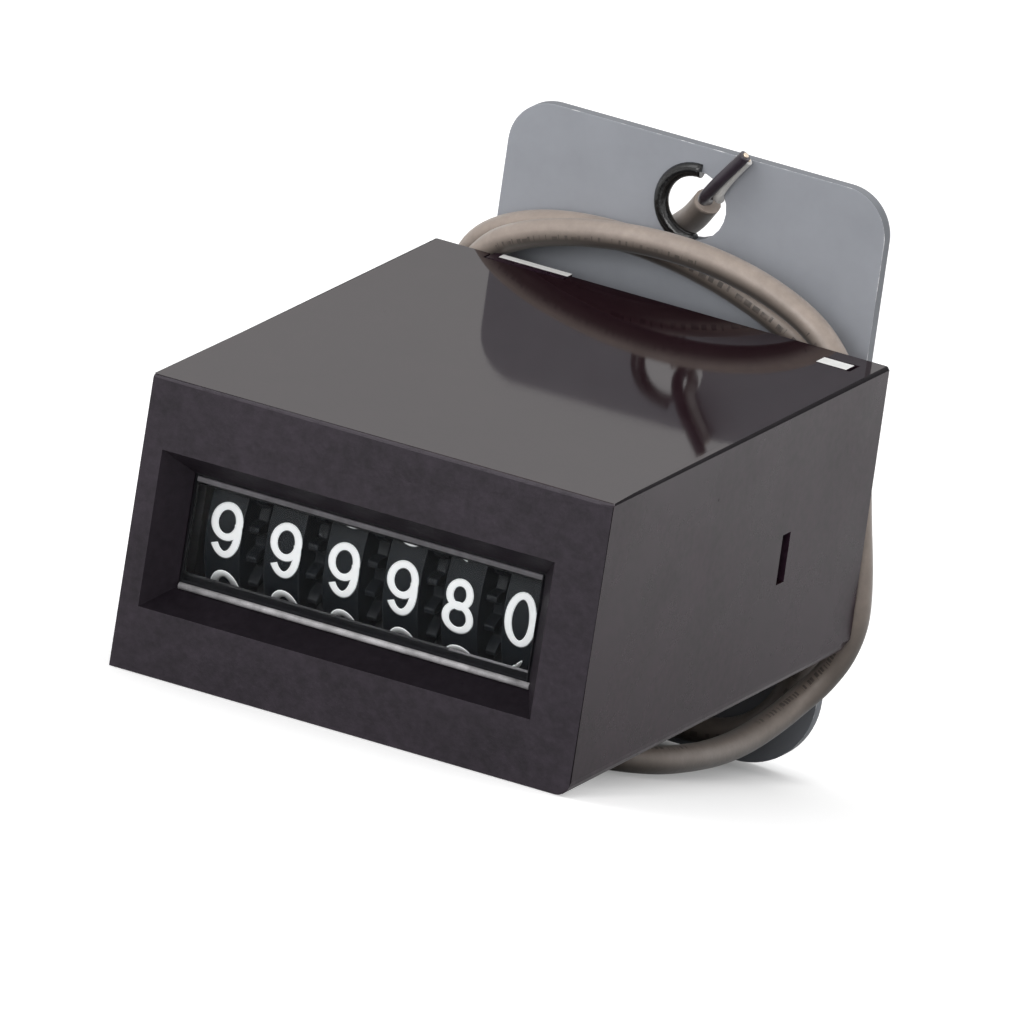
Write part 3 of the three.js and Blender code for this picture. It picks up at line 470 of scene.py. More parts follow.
def metal(
        name, colour, rough, stretch=(1, 1, 1), scale=1500.0, depth=0.000004, wear=0.5, tone=0.12,
        bright=(0.8, 0.8, 0.8), foot=None, **values):
    """Sheet or turned metal with fine lines, drifting tone and bright edges, and painted shade towards its
    foot where foot is given.
    """
    material, tree, shader = new_material(name, Metallic=values.pop("Metallic", 1.0), **values)
    vector = object_vector(tree, stretch)
    lines = group_in(tree, "Brushed lines", vector, Scale=scale)
    marks = group_in(tree, "Handling", object_vector(tree), Scale=160.0)
    rubbed = group_in(tree, "Edge wear", object_vector(tree), Amount=wear)
    light = tuple(min(1, c * (1 + tone)) for c in colour)
    dark = tuple(c * (1 - tone) for c in colour)
    base = mix_colour(tree, ramp(tree, lines.outputs["Tone"], 0.3, 0.7), dark, light)
    # Painted shade: the colour darkens towards the foot, to seven tenths at the lower of the two heights in
    # foot, which are in metres.
    if foot:
        unshaded_share = ramp(tree, parts_of(tree, object_vector(tree))["Z"], *foot)
        base = mix_colour(tree, unshaded_share, tuple(c * 0.7 for c in colour), base)
    tree.links.new(mix_colour(tree, rubbed.outputs["Mask"], base, bright), shader.inputs["Base Color"])
    smudge = times_plus(tree, marks.outputs["Smudge"], 0.14, rough)
    eased = times_plus(tree, rubbed.outputs["Mask"], -0.12, smudge, clamp=True)
    tree.links.new(eased, shader.inputs["Roughness"])
    bump(tree, shader, lines.outputs["Height"], depth)
    return material


def clear_where(tree, shader, factor):
    """Lets what passes go straight through the surface, as far as the factor says."""
    clear = tree.nodes.new("ShaderNodeBsdfTransparent")
    mix = tree.nodes.new("ShaderNodeMixShader")
    tree.links.new(factor, mix.inputs["Fac"])
    tree.links.new(shader.outputs["BSDF"], mix.inputs[1])
    tree.links.new(clear.outputs["BSDF"], mix.inputs[2])
    tree.links.new(mix.outputs["Shader"], tree.nodes["Material Output"].inputs["Surface"])


def make_lens_material():
    """Clear acrylic that lets light through to the wheels."""
    material, tree, shader = new_material(
        "Clear acrylic", Base_Color=(0.97, 0.98, 0.98), Roughness=0.02, IOR=1.16, Transmission_Weight=1.0,
    )
    path = tree.nodes.new("ShaderNodeLightPath")
    lighting = math_node(tree, "MAXIMUM", path.outputs["Is Shadow Ray"], path.outputs["Is Diffuse Ray"])
    clear_where(tree, shader, lighting)
    return material


def jacket_dashes(tree):
    """A broken line of uneven dashes; the UV map holds the share round and the millimetres along."""
    dashes_per_mm, groups_per_mm, printed_share = 2.1, 0.041, 0.62
    middle, wander, half_height = 0.485, 0.03, 0.034
    parts = parts_of(tree, tree.nodes.new("ShaderNodeUVMap").outputs["UV"])
    place = times(tree, parts["Y"], dashes_per_mm)
    chance = tree.nodes.new("ShaderNodeTexWhiteNoise")
    chance.noise_dimensions = "1D"
    tree.links.new(math_node(tree, "FLOOR", place), chance.inputs["W"])
    stretch = math_node(tree, "FRACT", times(tree, parts["Y"], groups_per_mm))
    group_on = math_node(tree, "LESS_THAN", stretch, printed_share)
    dash_on = math_node(tree, "LESS_THAN", math_node(tree, "FRACT", place), chance.outputs["Value"])
    off = times_plus(tree, chance.outputs["Value"], wander, middle)
    from_line = math_node(tree, "ABSOLUTE", math_node(tree, "SUBTRACT", parts["X"], off))
    in_line = math_node(tree, "LESS_THAN", from_line, half_height)
    return times(tree, times(tree, group_on, dash_on), in_line)


def make_jacket_material(colour):
    """Cable jacket: satin, a little chalky, with a row of plain printed dashes, and painted shade on its
    undersides and lowest turns.
    """
    material, tree, shader = new_material("Cable jacket", Sheen_Weight=0.15, Sheen_Roughness=0.5)
    vector = object_vector(tree)
    grain = group_in(tree, "Fine grain", vector, Scale=2600.0)
    marks = group_in(tree, "Handling", vector, Scale=220.0)
    light = tuple(c * 1.12 for c in colour)
    dark = tuple(c * 0.82 for c in colour)
    base = mix_colour(tree, ramp(tree, grain.outputs["Tone"], 0.32, 0.68), dark, light)
    grubby = tuple(c * 0.62 for c in colour)
    soiled = mix_colour(tree, times(tree, marks.outputs["Smudge"], 0.35), base, grubby)
    dash = jacket_dashes(tree)
    faded = times(tree, dash, ramp(tree, grain.outputs["Tone"], 0.35, 0.5))
    ink = mix_colour(tree, times(tree, faded, 0.75), soiled, (0.05, 0.045, 0.045))
    # Painted shade: the jacket darkens where it faces down and towards its lowest turns.
    low = times_plus(tree, ramp(tree, parts_of(tree, vector)["Z"], -0.013, 0.001), 0.45, 0.55)
    painted_lighting = times(tree, ramp(tree, facing_up(tree), -0.4, 0.4), low)
    wear_and_painted_shade = mix_colour(tree, painted_lighting, tuple(c * 0.2 for c in colour), ink)
    tree.links.new(wear_and_painted_shade, shader.inputs["Base Color"])
    rough = times_plus(tree, marks.outputs["Smudge"], 0.2, 0.36)
    tree.links.new(rough, shader.inputs["Roughness"])
    bump(tree, shader, grain.outputs["Height"], 0.000012)
    return material


def make_ink_material(colour):
    """White print, with painted shade where the wheel turns it downwards and a faint painted glow elsewhere.
    """
    material, tree, shader = new_material("White ink with painted shade", Roughness=0.55, Emission_Strength=1.0)
    grain = group_in(tree, "Fine grain", object_vector(tree), Scale=5000.0)
    # Painted shade: the print darkens where it faces down; painted light: a faint glow where it does not.
    painted_lighting = ramp(tree, facing_up(tree), -0.5, -0.3)
    base = mix_colour(tree, painted_lighting, tuple(c * 0.34 for c in colour), colour)
    tree.links.new(base, shader.inputs["Base Color"])
    tree.links.new(mix_colour(tree, painted_lighting, (0, 0, 0), (0.14, 0.14, 0.14)), shader.inputs["Emission Color"])
    bump(tree, shader, grain.outputs["Height"], 0.000002)
    return material


def make_winding_material():
    """Enamelled wire, turn beside turn round the bobbin."""
    material, tree, shader = new_material(
        "Enamelled wire", Metallic=0.75, Roughness=0.32, Coat_Weight=0.6, Coat_Roughness=0.15,
    )
    vector = object_vector(tree)
    turns = tree.nodes.new("ShaderNodeTexWave")
    turns.bands_direction = "Y"
    turns.inputs["Scale"].default_value = 1500.0
    turns.inputs["Distortion"].default_value = 0.6
    tree.links.new(vector, turns.inputs["Vector"])
    base = mix_colour(tree, turns.outputs["Fac"], (0.16, 0.045, 0.015), (0.52, 0.2, 0.08))
    tree.links.new(base, shader.inputs["Base Color"])
    bump(tree, shader, turns.outputs["Fac"], 0.00008)
    return material


def seen_or_mirrored(tree, path):
    """1 for what the camera, a gloss or clear plastic sees, and 0 for light."""
    seen = math_node(tree, "MAXIMUM", path.outputs["Is Camera Ray"], path.outputs["Is Glossy Ray"])
    return math_node(tree, "MAXIMUM", seen, path.outputs["Is Transmission Ray"])


def make_floor_material(lift):
    """Pale floor: white as it is seen, with painted shade in its gloss near the counter and a painted shadow
    under the counter, clear from below.

    Each pair says at which distance, in metres, a darkening starts and where it is whole.
    """
    around, foot_across, foot_along = (0.26, 0.06), (0.014, 0.006), (0.024, 0.016)
    material, tree, shader = new_material(
        "Pale floor", Roughness=0.7, Specular_IOR_Level=0.1, Emission_Color=(1, 1, 1),
    )
    path = tree.nodes.new("ShaderNodeLightPath")
    seen = seen_or_mirrored(tree, path)
    away = tree.nodes.new("ShaderNodeVectorMath")
    away.operation = "LENGTH"
    tree.links.new(object_vector(tree), away.inputs[0])
    # Painted shade: near the counter the floor is darker as mirrored in the counter's gloss.
    near = ramp(tree, away.outputs["Value"], *around)
    shade = times(tree, times(tree, near, path.outputs["Is Glossy Ray"]), 0.55)
    dull = times_plus(tree, path.outputs["Is Diffuse Ray"], 0.5, shade)
    # Painted shadow: under the counter's foot the floor darkens, both as it is seen and in its colour.
    place = parts_of(tree, object_vector(tree))
    across = ramp(tree, math_node(tree, "ABSOLUTE", place["X"]), *foot_across)
    from_middle = math_node(tree, "ABSOLUTE", math_node(tree, "ADD", place["Y"], 0.02))
    along = ramp(tree, from_middle, *foot_along)
    dull = times_plus(tree, times(tree, across, along), 0.9, dull)
    level = math_node(tree, "SUBTRACT", 1.0, dull, clamp=True)
    tree.links.new(times(tree, times(tree, seen, level), lift), shader.inputs["Emission Strength"])
    tone = group_in(tree, "Fine grain", object_vector(tree), Scale=700.0)
    pale = mix_colour(tree, tone.outputs["Tone"], (0.94, 0.94, 0.94), (0.96, 0.96, 0.96))
    tree.links.new(mix_colour(tree, level, (0, 0, 0), pale), shader.inputs["Base Color"])
    clear_where(tree, shader, tree.nodes.new("ShaderNodeNewGeometry").outputs["Backfacing"])
    return material


MATERIALS = {}


def make_materials():
    """Every finish of the counter, once."""
    settings = bpy.context.scene
    colour = tuple(settings.counter_case.moulding)
    for make in (make_grain_group, make_wear_group, make_smudge_group, make_brush_group):
        make()
    MATERIALS.update({
        "case": moulded(
            "Polished moulding", (0.016, 0.0065, 0.009), settings.counter_case.gloss, 5200.0, 0.0000004,
            0.12, 0.3, 0.03, IOR=1.25,
        ),
        "side": moulded(
            "Satin moulding", (0.0205, 0.0095, 0.0165), 0.24, 3000.0, 0.0000009, 0.4, 0.3, 0.1, IOR=1.3,
        ),
        "front": moulded("Grained moulding", colour, 0.46, 2600.0, 0.00002, 0.36, 0.5, 0.12, IOR=1.42),
        # Painted shade: the recess walls are the front's colour darkened, and the recess floor darker still.
        "recess": moulded(
            "Recess moulding with painted shade", tuple(c * 0.7 for c in colour), 0.5, 2600.0, 0.000012, 0.2, 0.3, 0.1, IOR=1.3,
        ),
        "recess floor": moulded(
            "Recess floor with painted shade", tuple(c * 0.42 for c in colour), 0.5, 2600.0, 0.000012, 0.2, 0.3, 0.1, IOR=1.18,
        ),
        # Painted shade: a near-black, dull finish that draws dark lines along the rounded edges.
        "edge line": moulded(
            "Edge with painted shade", (0.01, 0.008, 0.01), 0.6, 3400.0, 0.000002, 0.2, 0.0, 0.1,
            Specular_IOR_Level=0.06,
        ),
        # Painted highlights: pale grey for the bead under the lens, darker grey for the pane's upper band
        # and the border's lit lower edge.
        "lens edge": moulded("Lens edge with painted highlight", (0.36, 0.35, 0.36), 0.35, 1800.0, 0.00001, 0.4, 0.0),
        "lens rim": moulded("Lens rim with painted highlight", (0.11, 0.105, 0.115), 0.3, 1800.0, 0.000008, 0.3, 0.0),
        # Painted shade: near-black for the border behind the lens, the pane's lower band and the lens's
        # edges.
        "border": moulded(
            "Border of painted shade", (0.006, 0.006, 0.008), 0.35, 3400.0, 0.000002, 0.2, 0.4, 0.1,
            Specular_IOR_Level=0.25,
        ),
        # Painted highlight: the latch tongues are near white, standing for a glint on them.
        "latch": moulded("Latch with painted highlight", (0.9, 0.9, 0.88), 0.3, 3000.0, 0.000003, 0.05, 0.0),
        "wheel": moulded(
            "Wheel moulding", (0.006, 0.008, 0.011), 0.42, 4200.0, 0.000002, 0.2, 0.45, 0.12,
            Specular_IOR_Level=0.2,
        ),
        "nylon": moulded(
            "Natural nylon", (0.72, 0.68, 0.58), 0.42, 3000.0, 0.000003, 0.05, 0.1,
            Subsurface_Weight=0.1, Subsurface_Scale=0.001,
        ),
        "rubber": moulded("Black rubber", (0.012, 0.012, 0.0125), 0.5, 3600.0, 0.000006, 0.15, 0.3),
        "bush": moulded("Glossy bush", (0.006, 0.006, 0.0065), 0.12, 2600.0, 0.00003, 0.15, 0.3),
        "black core": moulded("Black core", (0.028, 0.02, 0.029), 0.34, 3800.0, 0.000003, 0.15, 0.2),
        "white core": moulded("White core", (0.66, 0.65, 0.63), 0.38, 3800.0, 0.000003, 0.06, 0.1),
        "ink": make_ink_material(tuple(settings.counter_numbers.ink)),
        # The plated sheet has painted shade towards its foot, under the case.
        "plate": metal(
            "Plated sheet", tuple(settings.counter_plate.metal), 0.44, (1, 1, 1), 1100.0, 0.000003,
            0.26, 0.05, (0.97, 0.97, 0.98), (-0.0185, -0.009), Metallic=0.15,
        ),
        "sheared edge": metal("Sheared edge", (0.19, 0.2, 0.22), 0.5, wear=0.2, Metallic=0.3),
        "steel": metal("Bright steel", (0.55, 0.56, 0.58), 0.28, (1, 0.15, 1)),
        "brass": metal("Brass", (0.62, 0.44, 0.19), 0.3, (1, 0.2, 1), bright=(0.9, 0.75, 0.45)),
        "copper": metal("Tinned copper", (0.66, 0.55, 0.44), 0.3, (1, 1, 0.2), bright=(0.9, 0.8, 0.7)),
        "winding": make_winding_material(),
        "jacket": make_jacket_material(tuple(settings.counter_cable.jacket)),
        "lens": make_lens_material(),
    })


# Pieces


def add_piece(form, name, body, materials, replaces=(), smooth=True, flat_above=None):
    """Makes an object of a bmesh, puts it on its body and hides the CAD nodes that it stands for.

    Faces larger than flat_above stay flat, so that a mirror-like wall shows no false curve,
    and those of them that face the front are cut into even triangles.
    """
    if flat_above:
        large = [f for f in form.faces if f.calc_area() > flat_above and f.normal.y < -0.9]
        bmesh.ops.triangulate(form, faces=large, quad_method="BEAUTY", ngon_method="BEAUTY")
    mesh = bpy.data.meshes.new(name)
    form.to_mesh(mesh)
    form.free()
    custom = mesh.attributes.get("custom_normal")
    if custom:
        mesh.attributes.remove(custom)
    for key in materials:
        mesh.materials.append(MATERIALS[key])
    piece = bpy.data.objects.new(name, mesh)
    bpy.context.scene.collection.objects.link(piece)
    if smooth:
        soft = [not flat_above or face.area < flat_above for face in mesh.polygons]
        mesh.polygons.foreach_set("use_smooth", soft)
        weighted = piece.modifiers.new("Face weighted normals", "WEIGHTED_NORMAL")
        weighted.keep_sharp = True
        weighted.weight = 60
    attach(piece, body)
    if replaces:
        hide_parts(*replaces)
    return piece


def merged_copy(node):
    """A CAD node's solid as a bmesh with whole flat faces."""
    form = bmesh.new()
    form.from_mesh(frame["nodes"][node].data)
    bmesh.ops.remove_doubles(form, verts=form.verts, dist=1e-6)
    bmesh.ops.dissolve_limit(
        form, angle_limit=math.radians(0.6), use_dissolve_boundaries=False,
        verts=form.verts, edges=form.edges,
    )
    return form


def cut_at(form, place, normal):
    """Cuts every face along a plane and keeps both sides."""
    bmesh.ops.bisect_plane(
        form, geom=form.verts[:] + form.edges[:] + form.faces[:], plane_co=place, plane_no=normal,
    )


def round_edges(form, width, segments=2, limit=32, only=None, clamp=True):
    """Rounds the sharp edges and marks the new faces for wear."""
    mark = form.faces.layers.float.get("edge") or form.faces.layers.float.new("edge")
    sharp = [
        edge for edge in form.edges
        if len(edge.link_faces) == 2
        and edge.calc_face_angle() > math.radians(limit)
        and (only is None or only(edge))
    ]
    made = bmesh.ops.bevel(
        form, geom=sharp, offset=width, offset_type="OFFSET", segments=segments, profile=0.5,
        affect="EDGES", clamp_overlap=clamp, material=-1,
    )
    for face in made["faces"]:
        face[mark] = 1.0
    return form


def lean_front(form):
    """Leans the case's front, and what sits in it, forward towards the bottom."""
    for vert in form.verts:
        share = min(1, max(0, (LEAN_START_Y - vert.co.y) / LEAN_FADE))
        drop = (CASE_TOP_Z - vert.co.z) / (CASE_TOP_Z - CASE_LOW_Z)
        ahead = min(1, max(0, (REACH_START_Y - vert.co.y) / REACH_FADE))
        vert.co.y -= FRONT_LEAN * share * drop + FRONT_REACH * ahead


def dress_node(node, material, width=0.08 * MM, segments=2):
    """Stands for a CAD node with its edges rounded and its own finish."""
    form = round_edges(merged_copy(node), width, segments)
    owner = body_of(frame["nodes"][node])
    owner = owner[0] if isinstance(owner, (list, tuple)) else owner
    return add_piece(form, node + "_finished", owner, [material], [node])


def smooth_route(points, steps):
    """Points on a uniform Catmull-Rom curve through a route, in metres."""
    route = [Vector(p) * MM for p in points]
    route = [route[0] * 2 - route[1], *route, route[-1] * 2 - route[-2]]
    line = []
    for i in range(1, len(route) - 2):
        a, b, c, d = route[i - 1:i + 3]
        for k in range(steps):
            t = k / steps
            line.append(0.5 * (2 * b + (c - a) * t + (2 * a - 5 * b + 4 * c - d) * t ** 2
                               + (3 * b - 3 * c + d - a) * t ** 3))
    line.append(route[-2])
    return line


def mesh_of(curve):
    """A curve's tubes as a bmesh; the curve is removed."""
    holder = bpy.data.objects.new(curve.name, curve)
    bpy.context.scene.collection.objects.link(holder)
    graph = bpy.context.evaluated_depsgraph_get()
    mesh = bpy.data.meshes.new_from_object(holder.evaluated_get(graph))
    bpy.data.objects.remove(holder)
    bpy.data.curves.remove(curve)
    form = bmesh.new()
    form.from_mesh(mesh)
    bpy.data.meshes.remove(mesh)
    return form


def tube(name, line, diameter, body, material, replaces=(), sides=5):
    """A round tube along a line, made by a curve and turned into a mesh with its length in the UV map."""
    curve = bpy.data.curves.new(name, "CURVE")
    curve.dimensions = "3D"
    curve.bevel_depth = diameter / 2
    curve.bevel_resolution = sides
    curve.use_fill_caps = True
    curve.twist_mode = "MINIMUM"
    spline = curve.splines.new("POLY")
    spline.points.add(len(line) - 1)
    for point, place in zip(spline.points, line):
        point.co = (*place, 1)
    form = mesh_of(curve)
    layer = form.loops.layers.uv.active
    length = sum((b - a).length for a, b in zip(line, line[1:])) / MM
    for face in form.faces:
        for loop in face.loops:
            across, along = loop[layer].uv
            loop[layer].uv = (along, across * length)
    bmesh.ops.remove_doubles(form, verts=form.verts, dist=1e-7)
    piece = add_piece(form, name, body, [material], replaces, smooth=False)
    piece.data.polygons.foreach_set("use_smooth", [len(p.vertices) == 4 for p in piece.data.polygons])
    return piece


def wound_turn(steps=76):
    """The wound turn's points in millimetres, by the same formula as the solid's."""
    points = []
    for i in range(steps + 1):
        angle = math.radians(285) * i / steps
        across, up = math.cos(angle), math.sin(angle)
        below = up < 0
        reach = math.copysign(abs(across) ** 0.6, across) if below else across
        x = -1.2 - 13.8 * reach - (2.4 * up if below else 0)
        z = 5.14 + (23.2 if below else 6.5) * up + 1.86 * across
        points.append((x, -2.02, z))
    return points


def cable_line(steps=6):
    """The cable's middle line in metres: the wound turn as it is, smoothed into the lengths at its ends."""
    turn = wound_turn()
    lead = smooth_route([*LEAD_ROUTE, turn[0], turn[4]], steps)[:-steps - 1]
    tail = smooth_route([turn[-5], turn[-1], *TAIL_ROUTE], steps)[steps + 1:]
    return [*lead, *(Vector(p) * MM for p in turn), *tail]


# Digits


def oval(x, y, across, up, start=0, turn=360, steps=30):
    """Points round an oval between two angles in degrees, on a digit two units wide and two high."""
    angles = [math.radians(start + turn * i / steps) for i in range(steps + (turn % 360 != 0))]
    return [(x + across * math.cos(a), y + up * math.sin(a)) for a in angles]


def digit_strokes(value):
    """A digit's lines; each says whether it closes on itself, and its points."""
    bowl, bend = oval(0, 0.37, 1, 0.63), oval(0, 0, 1, 1, 22, -167)
    return {
        0: [(True, oval(0, 0, 1, 1))],
        1: [(False, [(-0.5, 0.55), (0.15, 1), (0.15, -1)])],
        2: [(False, [*oval(0, 0.45, 0.95, 0.55, 165, -200), (-1, -1), (1, -1)])],
        3: [(False, oval(0, 0.5, 0.85, 0.5, 150, -240)), (False, oval(0, -0.47, 1, 0.53, 90, -240))],
        4: [(False, [(0.45, -1), (0.45, 1), (-1, -0.4), (1, -0.4)])],
        5: [(False, [(0.85, 1), (-0.7, 1), (-0.82, 0.1), *oval(0, -0.35, 1, 0.65, 125, -270)])],
        6: [(True, [(-x, -y) for x, y in bowl]), (False, [(-x, -y) for x, y in bend])],
        7: [(False, [(-1, 1), (1, 1), (-0.3, -1)])],
        8: [(True, oval(0, 0.51, 0.82, 0.49)), (True, oval(0, -0.46, 1, 0.54))],
        9: [(True, bowl), (False, bend)],
    }[value]


def digits_on_wheel(shown, settings, play):
    """All ten digits as thin raised prints bent round a wheel, with the shown one to the front."""
    stroke = settings.stroke
    across, up = (settings.width - stroke) / 2, (settings.height - stroke) / 2
    curve = bpy.data.curves.new("digits", "CURVE")
    curve.dimensions = "3D"
    curve.twist_mode = "Z_UP"
    curve.bevel_depth = stroke / 2
    curve.bevel_resolution = 2
    curve.use_fill_caps = True
    for value in range(10):
        along = -math.radians(36) * (value - shown) * WHEEL_RADIUS
        for closed, points in digit_strokes(value):
            spline = curve.splines.new("POLY")
            spline.points.add(len(points) - 1)
            spline.use_cyclic_u = closed
            for point, (x, y) in zip(spline.points, points):
                point.co = (x * across, y * up + along, 0, 1)
    form = mesh_of(curve)
    for vert in form.verts:
        level = vert.co.z / (stroke / 2)
        rise = PRINT_TOP if level > 0.5 else PRINT_SIDE if level > -0.5 else PRINT_BASE
        angle = play + vert.co.y / WHEEL_RADIUS
        radius = WHEEL_RADIUS + rise
        vert.co = (vert.co.x, WHEEL_Y - radius * math.cos(angle), WHEEL_Z + radius * math.sin(angle))
    return form


# Operators


class COUNTER_OT_camera(Operator):
    """Puts the camera where the counter is seen from its front, right and above."""

    bl_idname = "counter.camera"
    bl_label = "Camera"

    def execute(self, context):
        data = bpy.data.cameras.new("Camera")
        data.lens = context.scene.counter_stage.focal_length
        data.sensor_width = 36
        camera = bpy.data.objects.new("Camera", data)
        camera.location = (0.907477, -2.059703, 0.723804)
        camera.rotation_euler = [math.radians(a) for a in (71.83835, -7.78761, 26.56202)]
        context.scene.collection.objects.link(camera)
        context.scene.camera = camera
        return {"FINISHED"}


class COUNTER_OT_stage(Operator):
    """Makes the pale floor that the counter lies on, its soft lamps and the plain surround."""

    bl_idname = "counter.stage"
    bl_label = "Floor and light"

    def execute(self, context):
        settings = context.scene.counter_stage
        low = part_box("mounting_plate")[0]
        front = Vector((0, FRONT_Y - FRONT_LEAN - FRONT_REACH, CASE_LOW_Z))
        slope = Vector((0, low.y, low.z)) - front
        normal = Vector((1, 0, 0)).cross(slope).normalized()
        form = bmesh.new()
        bmesh.ops.create_circle(
            form, cap_ends=True, segments=settings.floor_sides, radius=settings.floor_size,
        )
        turn = normal.to_track_quat("Z", "Y").to_matrix().to_4x4()
        place = Matrix.Translation(front - normal * 0.02 * MM) @ turn
        bmesh.ops.transform(form, matrix=place, verts=form.verts)
        mesh = bpy.data.meshes.new("Floor")
        form.to_mesh(mesh)
        form.free()
        mesh.materials.append(make_floor_material(settings.floor_lift))
        floor = bpy.data.objects.new("Floor", mesh)
        context.scene.collection.objects.link(floor)
        for name, place, power in LAMPS:
            self.add_lamp(context, name, place, power)
        self.make_world(context, settings.surround)
        context.scene.view_settings.view_transform = "Standard"
        return {"FINISHED"}

    def add_lamp(self, context, name, place, power):
        """A soft square lamp that points at the counter."""
        data = bpy.data.lights.new(name, "AREA")
        data.size = LAMP_SIZE
        data.energy = power
        lamp = bpy.data.objects.new(name, data)
        lamp.location = place
        lamp.rotation_euler = (Vector((0, -0.02, 0)) - Vector(place)).to_track_quat("-Z", "Y").to_euler()
        context.scene.collection.objects.link(lamp)

    def make_world(self, context, strength):
        """Plain white where it is seen or mirrored, and weaker where it lights the object."""
        world = bpy.data.worlds.new("Plain surround")
        context.scene.world = world
        world.use_nodes = True
        tree = world.node_tree
        background = tree.nodes["Background"]
        background.inputs["Color"].default_value = (1, 1, 1, 1)
        path = tree.nodes.new("ShaderNodeLightPath")
        level = times_plus(tree, seen_or_mirrored(tree, path), 1 - strength, strength)
        tree.links.new(level, background.inputs["Strength"])


class COUNTER_OT_cable(Operator):
    """Makes the cable as one length from its grommet to its cut end, its cores and the grommet."""

    bl_idname = "counter.cable"
    bl_label = "Cable"

    def execute(self, context):
        settings = context.scene.counter_cable
        line = cable_line()
        cable = tube(
            "cable", line, settings.diameter, "housing", "jacket",
            ["cable_lead", "cable_coil", "cable_tail"],
        )
        black = self.make_core("core_black_wire", BLACK_CORE_ROUTE, "core_black", "black core")
        white = self.make_core("core_white_wire", WHITE_CORE_ROUTE, "core_white", "white core")
        dress_node("cable_grommet", "rubber", 0.12 * MM, 3)
        return {"FINISHED"}

    def make_core(self, name, points, node, material):
        """An insulated core and the tinned strands that stand out of its stripped end."""
        diameter = bpy.context.scene.counter_cable.core_diameter
        line = smooth_route(points, 8)
        core = tube(name, line, diameter, "housing", material, [node], 4)
        ahead = (line[-1] - line[-2]).normalized()
        end = line[-1] - ahead * 0.1 * MM
        stripped = [end, end + ahead * 0.18 * MM]
        wire = tube(name + "_strands", stripped, diameter * 0.5, "housing", "copper", (), 3)
        return core, wire


class COUNTER_OT_case(Operator):
    """Makes the case moulding, polished on top, satin at its sides and grained in front, and its cover."""

    bl_idname = "counter.case"
    bl_label = "Case"

    def execute(self, context):
        settings = context.scene.counter_case
        form = merged_copy("case_shell")
        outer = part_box("case_shell")
        round_edges(form, settings.corner_radius, 5, only=lambda edge: self.is_corner(edge, outer))
        round_edges(form, LOW_EDGE_RADIUS, 2, only=lambda edge: self.is_low_edge(edge, outer))
        round_edges(
            form, settings.edge_radius, 3, only=lambda edge: self.is_top_edge(edge, outer), clamp=False,
        )
        round_edges(form, INNER_EDGE_RADIUS, 2)
        for level in TOP_CUTS_Y:
            cut_at(form, (0, level, 0), (0, 1, 0))
        for face in form.faces:
            face.material_index = self.finish_of(face, outer, settings)
        lean_front(form)
        add_piece(
            form, "case_moulding", "housing",
            ["case", "side", "front", "recess", "edge line", "recess floor"], ["case_shell"],
            flat_above=FLAT_AREA,
        )
        cover = round_edges(merged_copy("rear_cover"), INNER_EDGE_RADIUS, 2)
        cut_at(cover, (0, LATCH_Y, 0), (0, 1, 0))
        cut_at(cover, (LATCH_X, 0, 0), (1, 0, 0))
        # The latch faces that show at the top get the near-white painted highlight.
        for face in cover.faces:
            middle = face.calc_center_median()
            shown = middle.x > 0 or middle.y > LATCH_Y and middle.x > LATCH_X
            face.material_index = int(shown and middle.z > CASE_TOP_Z - LATCH_DEPTH)
        add_piece(
            cover, "rear_cover_moulding", "housing", ["side", "latch"], ["rear_cover"],
        )
        return {"FINISHED"}

    def planes(self, edge, outer):
        """The outer planes that both ends of an edge lie on, as an axis and which end of the box."""
        return {
            (axis, end) for axis in range(3) for end in range(2)
            if all(abs(vert.co[axis] - outer[end][axis]) < 1e-5 for vert in edge.verts)
        }

    def is_corner(self, edge, outer):
        """True for the right side's long lower edge."""
        return self.planes(edge, outer) == {(0, 1), (2, 0)}

    def is_low_edge(self, edge, outer):
        """True for the upright front edges and the lower edges that are still sharp."""
        on = self.planes(edge, outer)
        return len(on) == 2 and (1, 1) not in on and (2, 1) not in on

    def is_top_edge(self, edge, outer):
        """True for the edges at the front and sides of the top."""
        if (2, 1) not in self.planes(edge, outer):
            return False
        near = 1.1 * MM
        return all(abs(v.co.x) > outer[1].x - near or v.co.y < outer[0].y + near for v in edge.verts)

    def finish_of(self, face, outer, settings):
        """Which of the case's six finishes a face has; the recess, its floor and the dark edge line carry
        painted shade.
        """
        middle, normal = face.calc_center_median(), face.normal
        past_front = middle.y - outer[0].y
        line = settings.edge_radius
        on_top_edge = abs(middle.x) > outer[1].x - line and middle.z > outer[1].z - line
        on_corner = normal.x > 0.15 and abs(normal.z) < 0.3 and middle.x > outer[1].x - 1 * MM
        in_recess = abs(middle.x) < RECESS_HALF_WIDTH and abs(middle.z) < RECESS_HALF_HEIGHT
        # Painted shade: the rounded top edges at the sides and the right corner near the front get the dark
        # edge finish.
        if on_top_edge and past_front > 0.6 * MM or on_corner and past_front < 0.4 * MM:
            return 4
        if past_front < 0.35 * MM and normal.y < -0.3:
            return 2
        # Painted shade: the recess walls are darker, and its upward-facing floor darker still.
        if in_recess and past_front < RECESS_DEPTH:
            return 5 if normal.z > 0.3 else 3
        return 0 if normal.z > 0.7 else 1


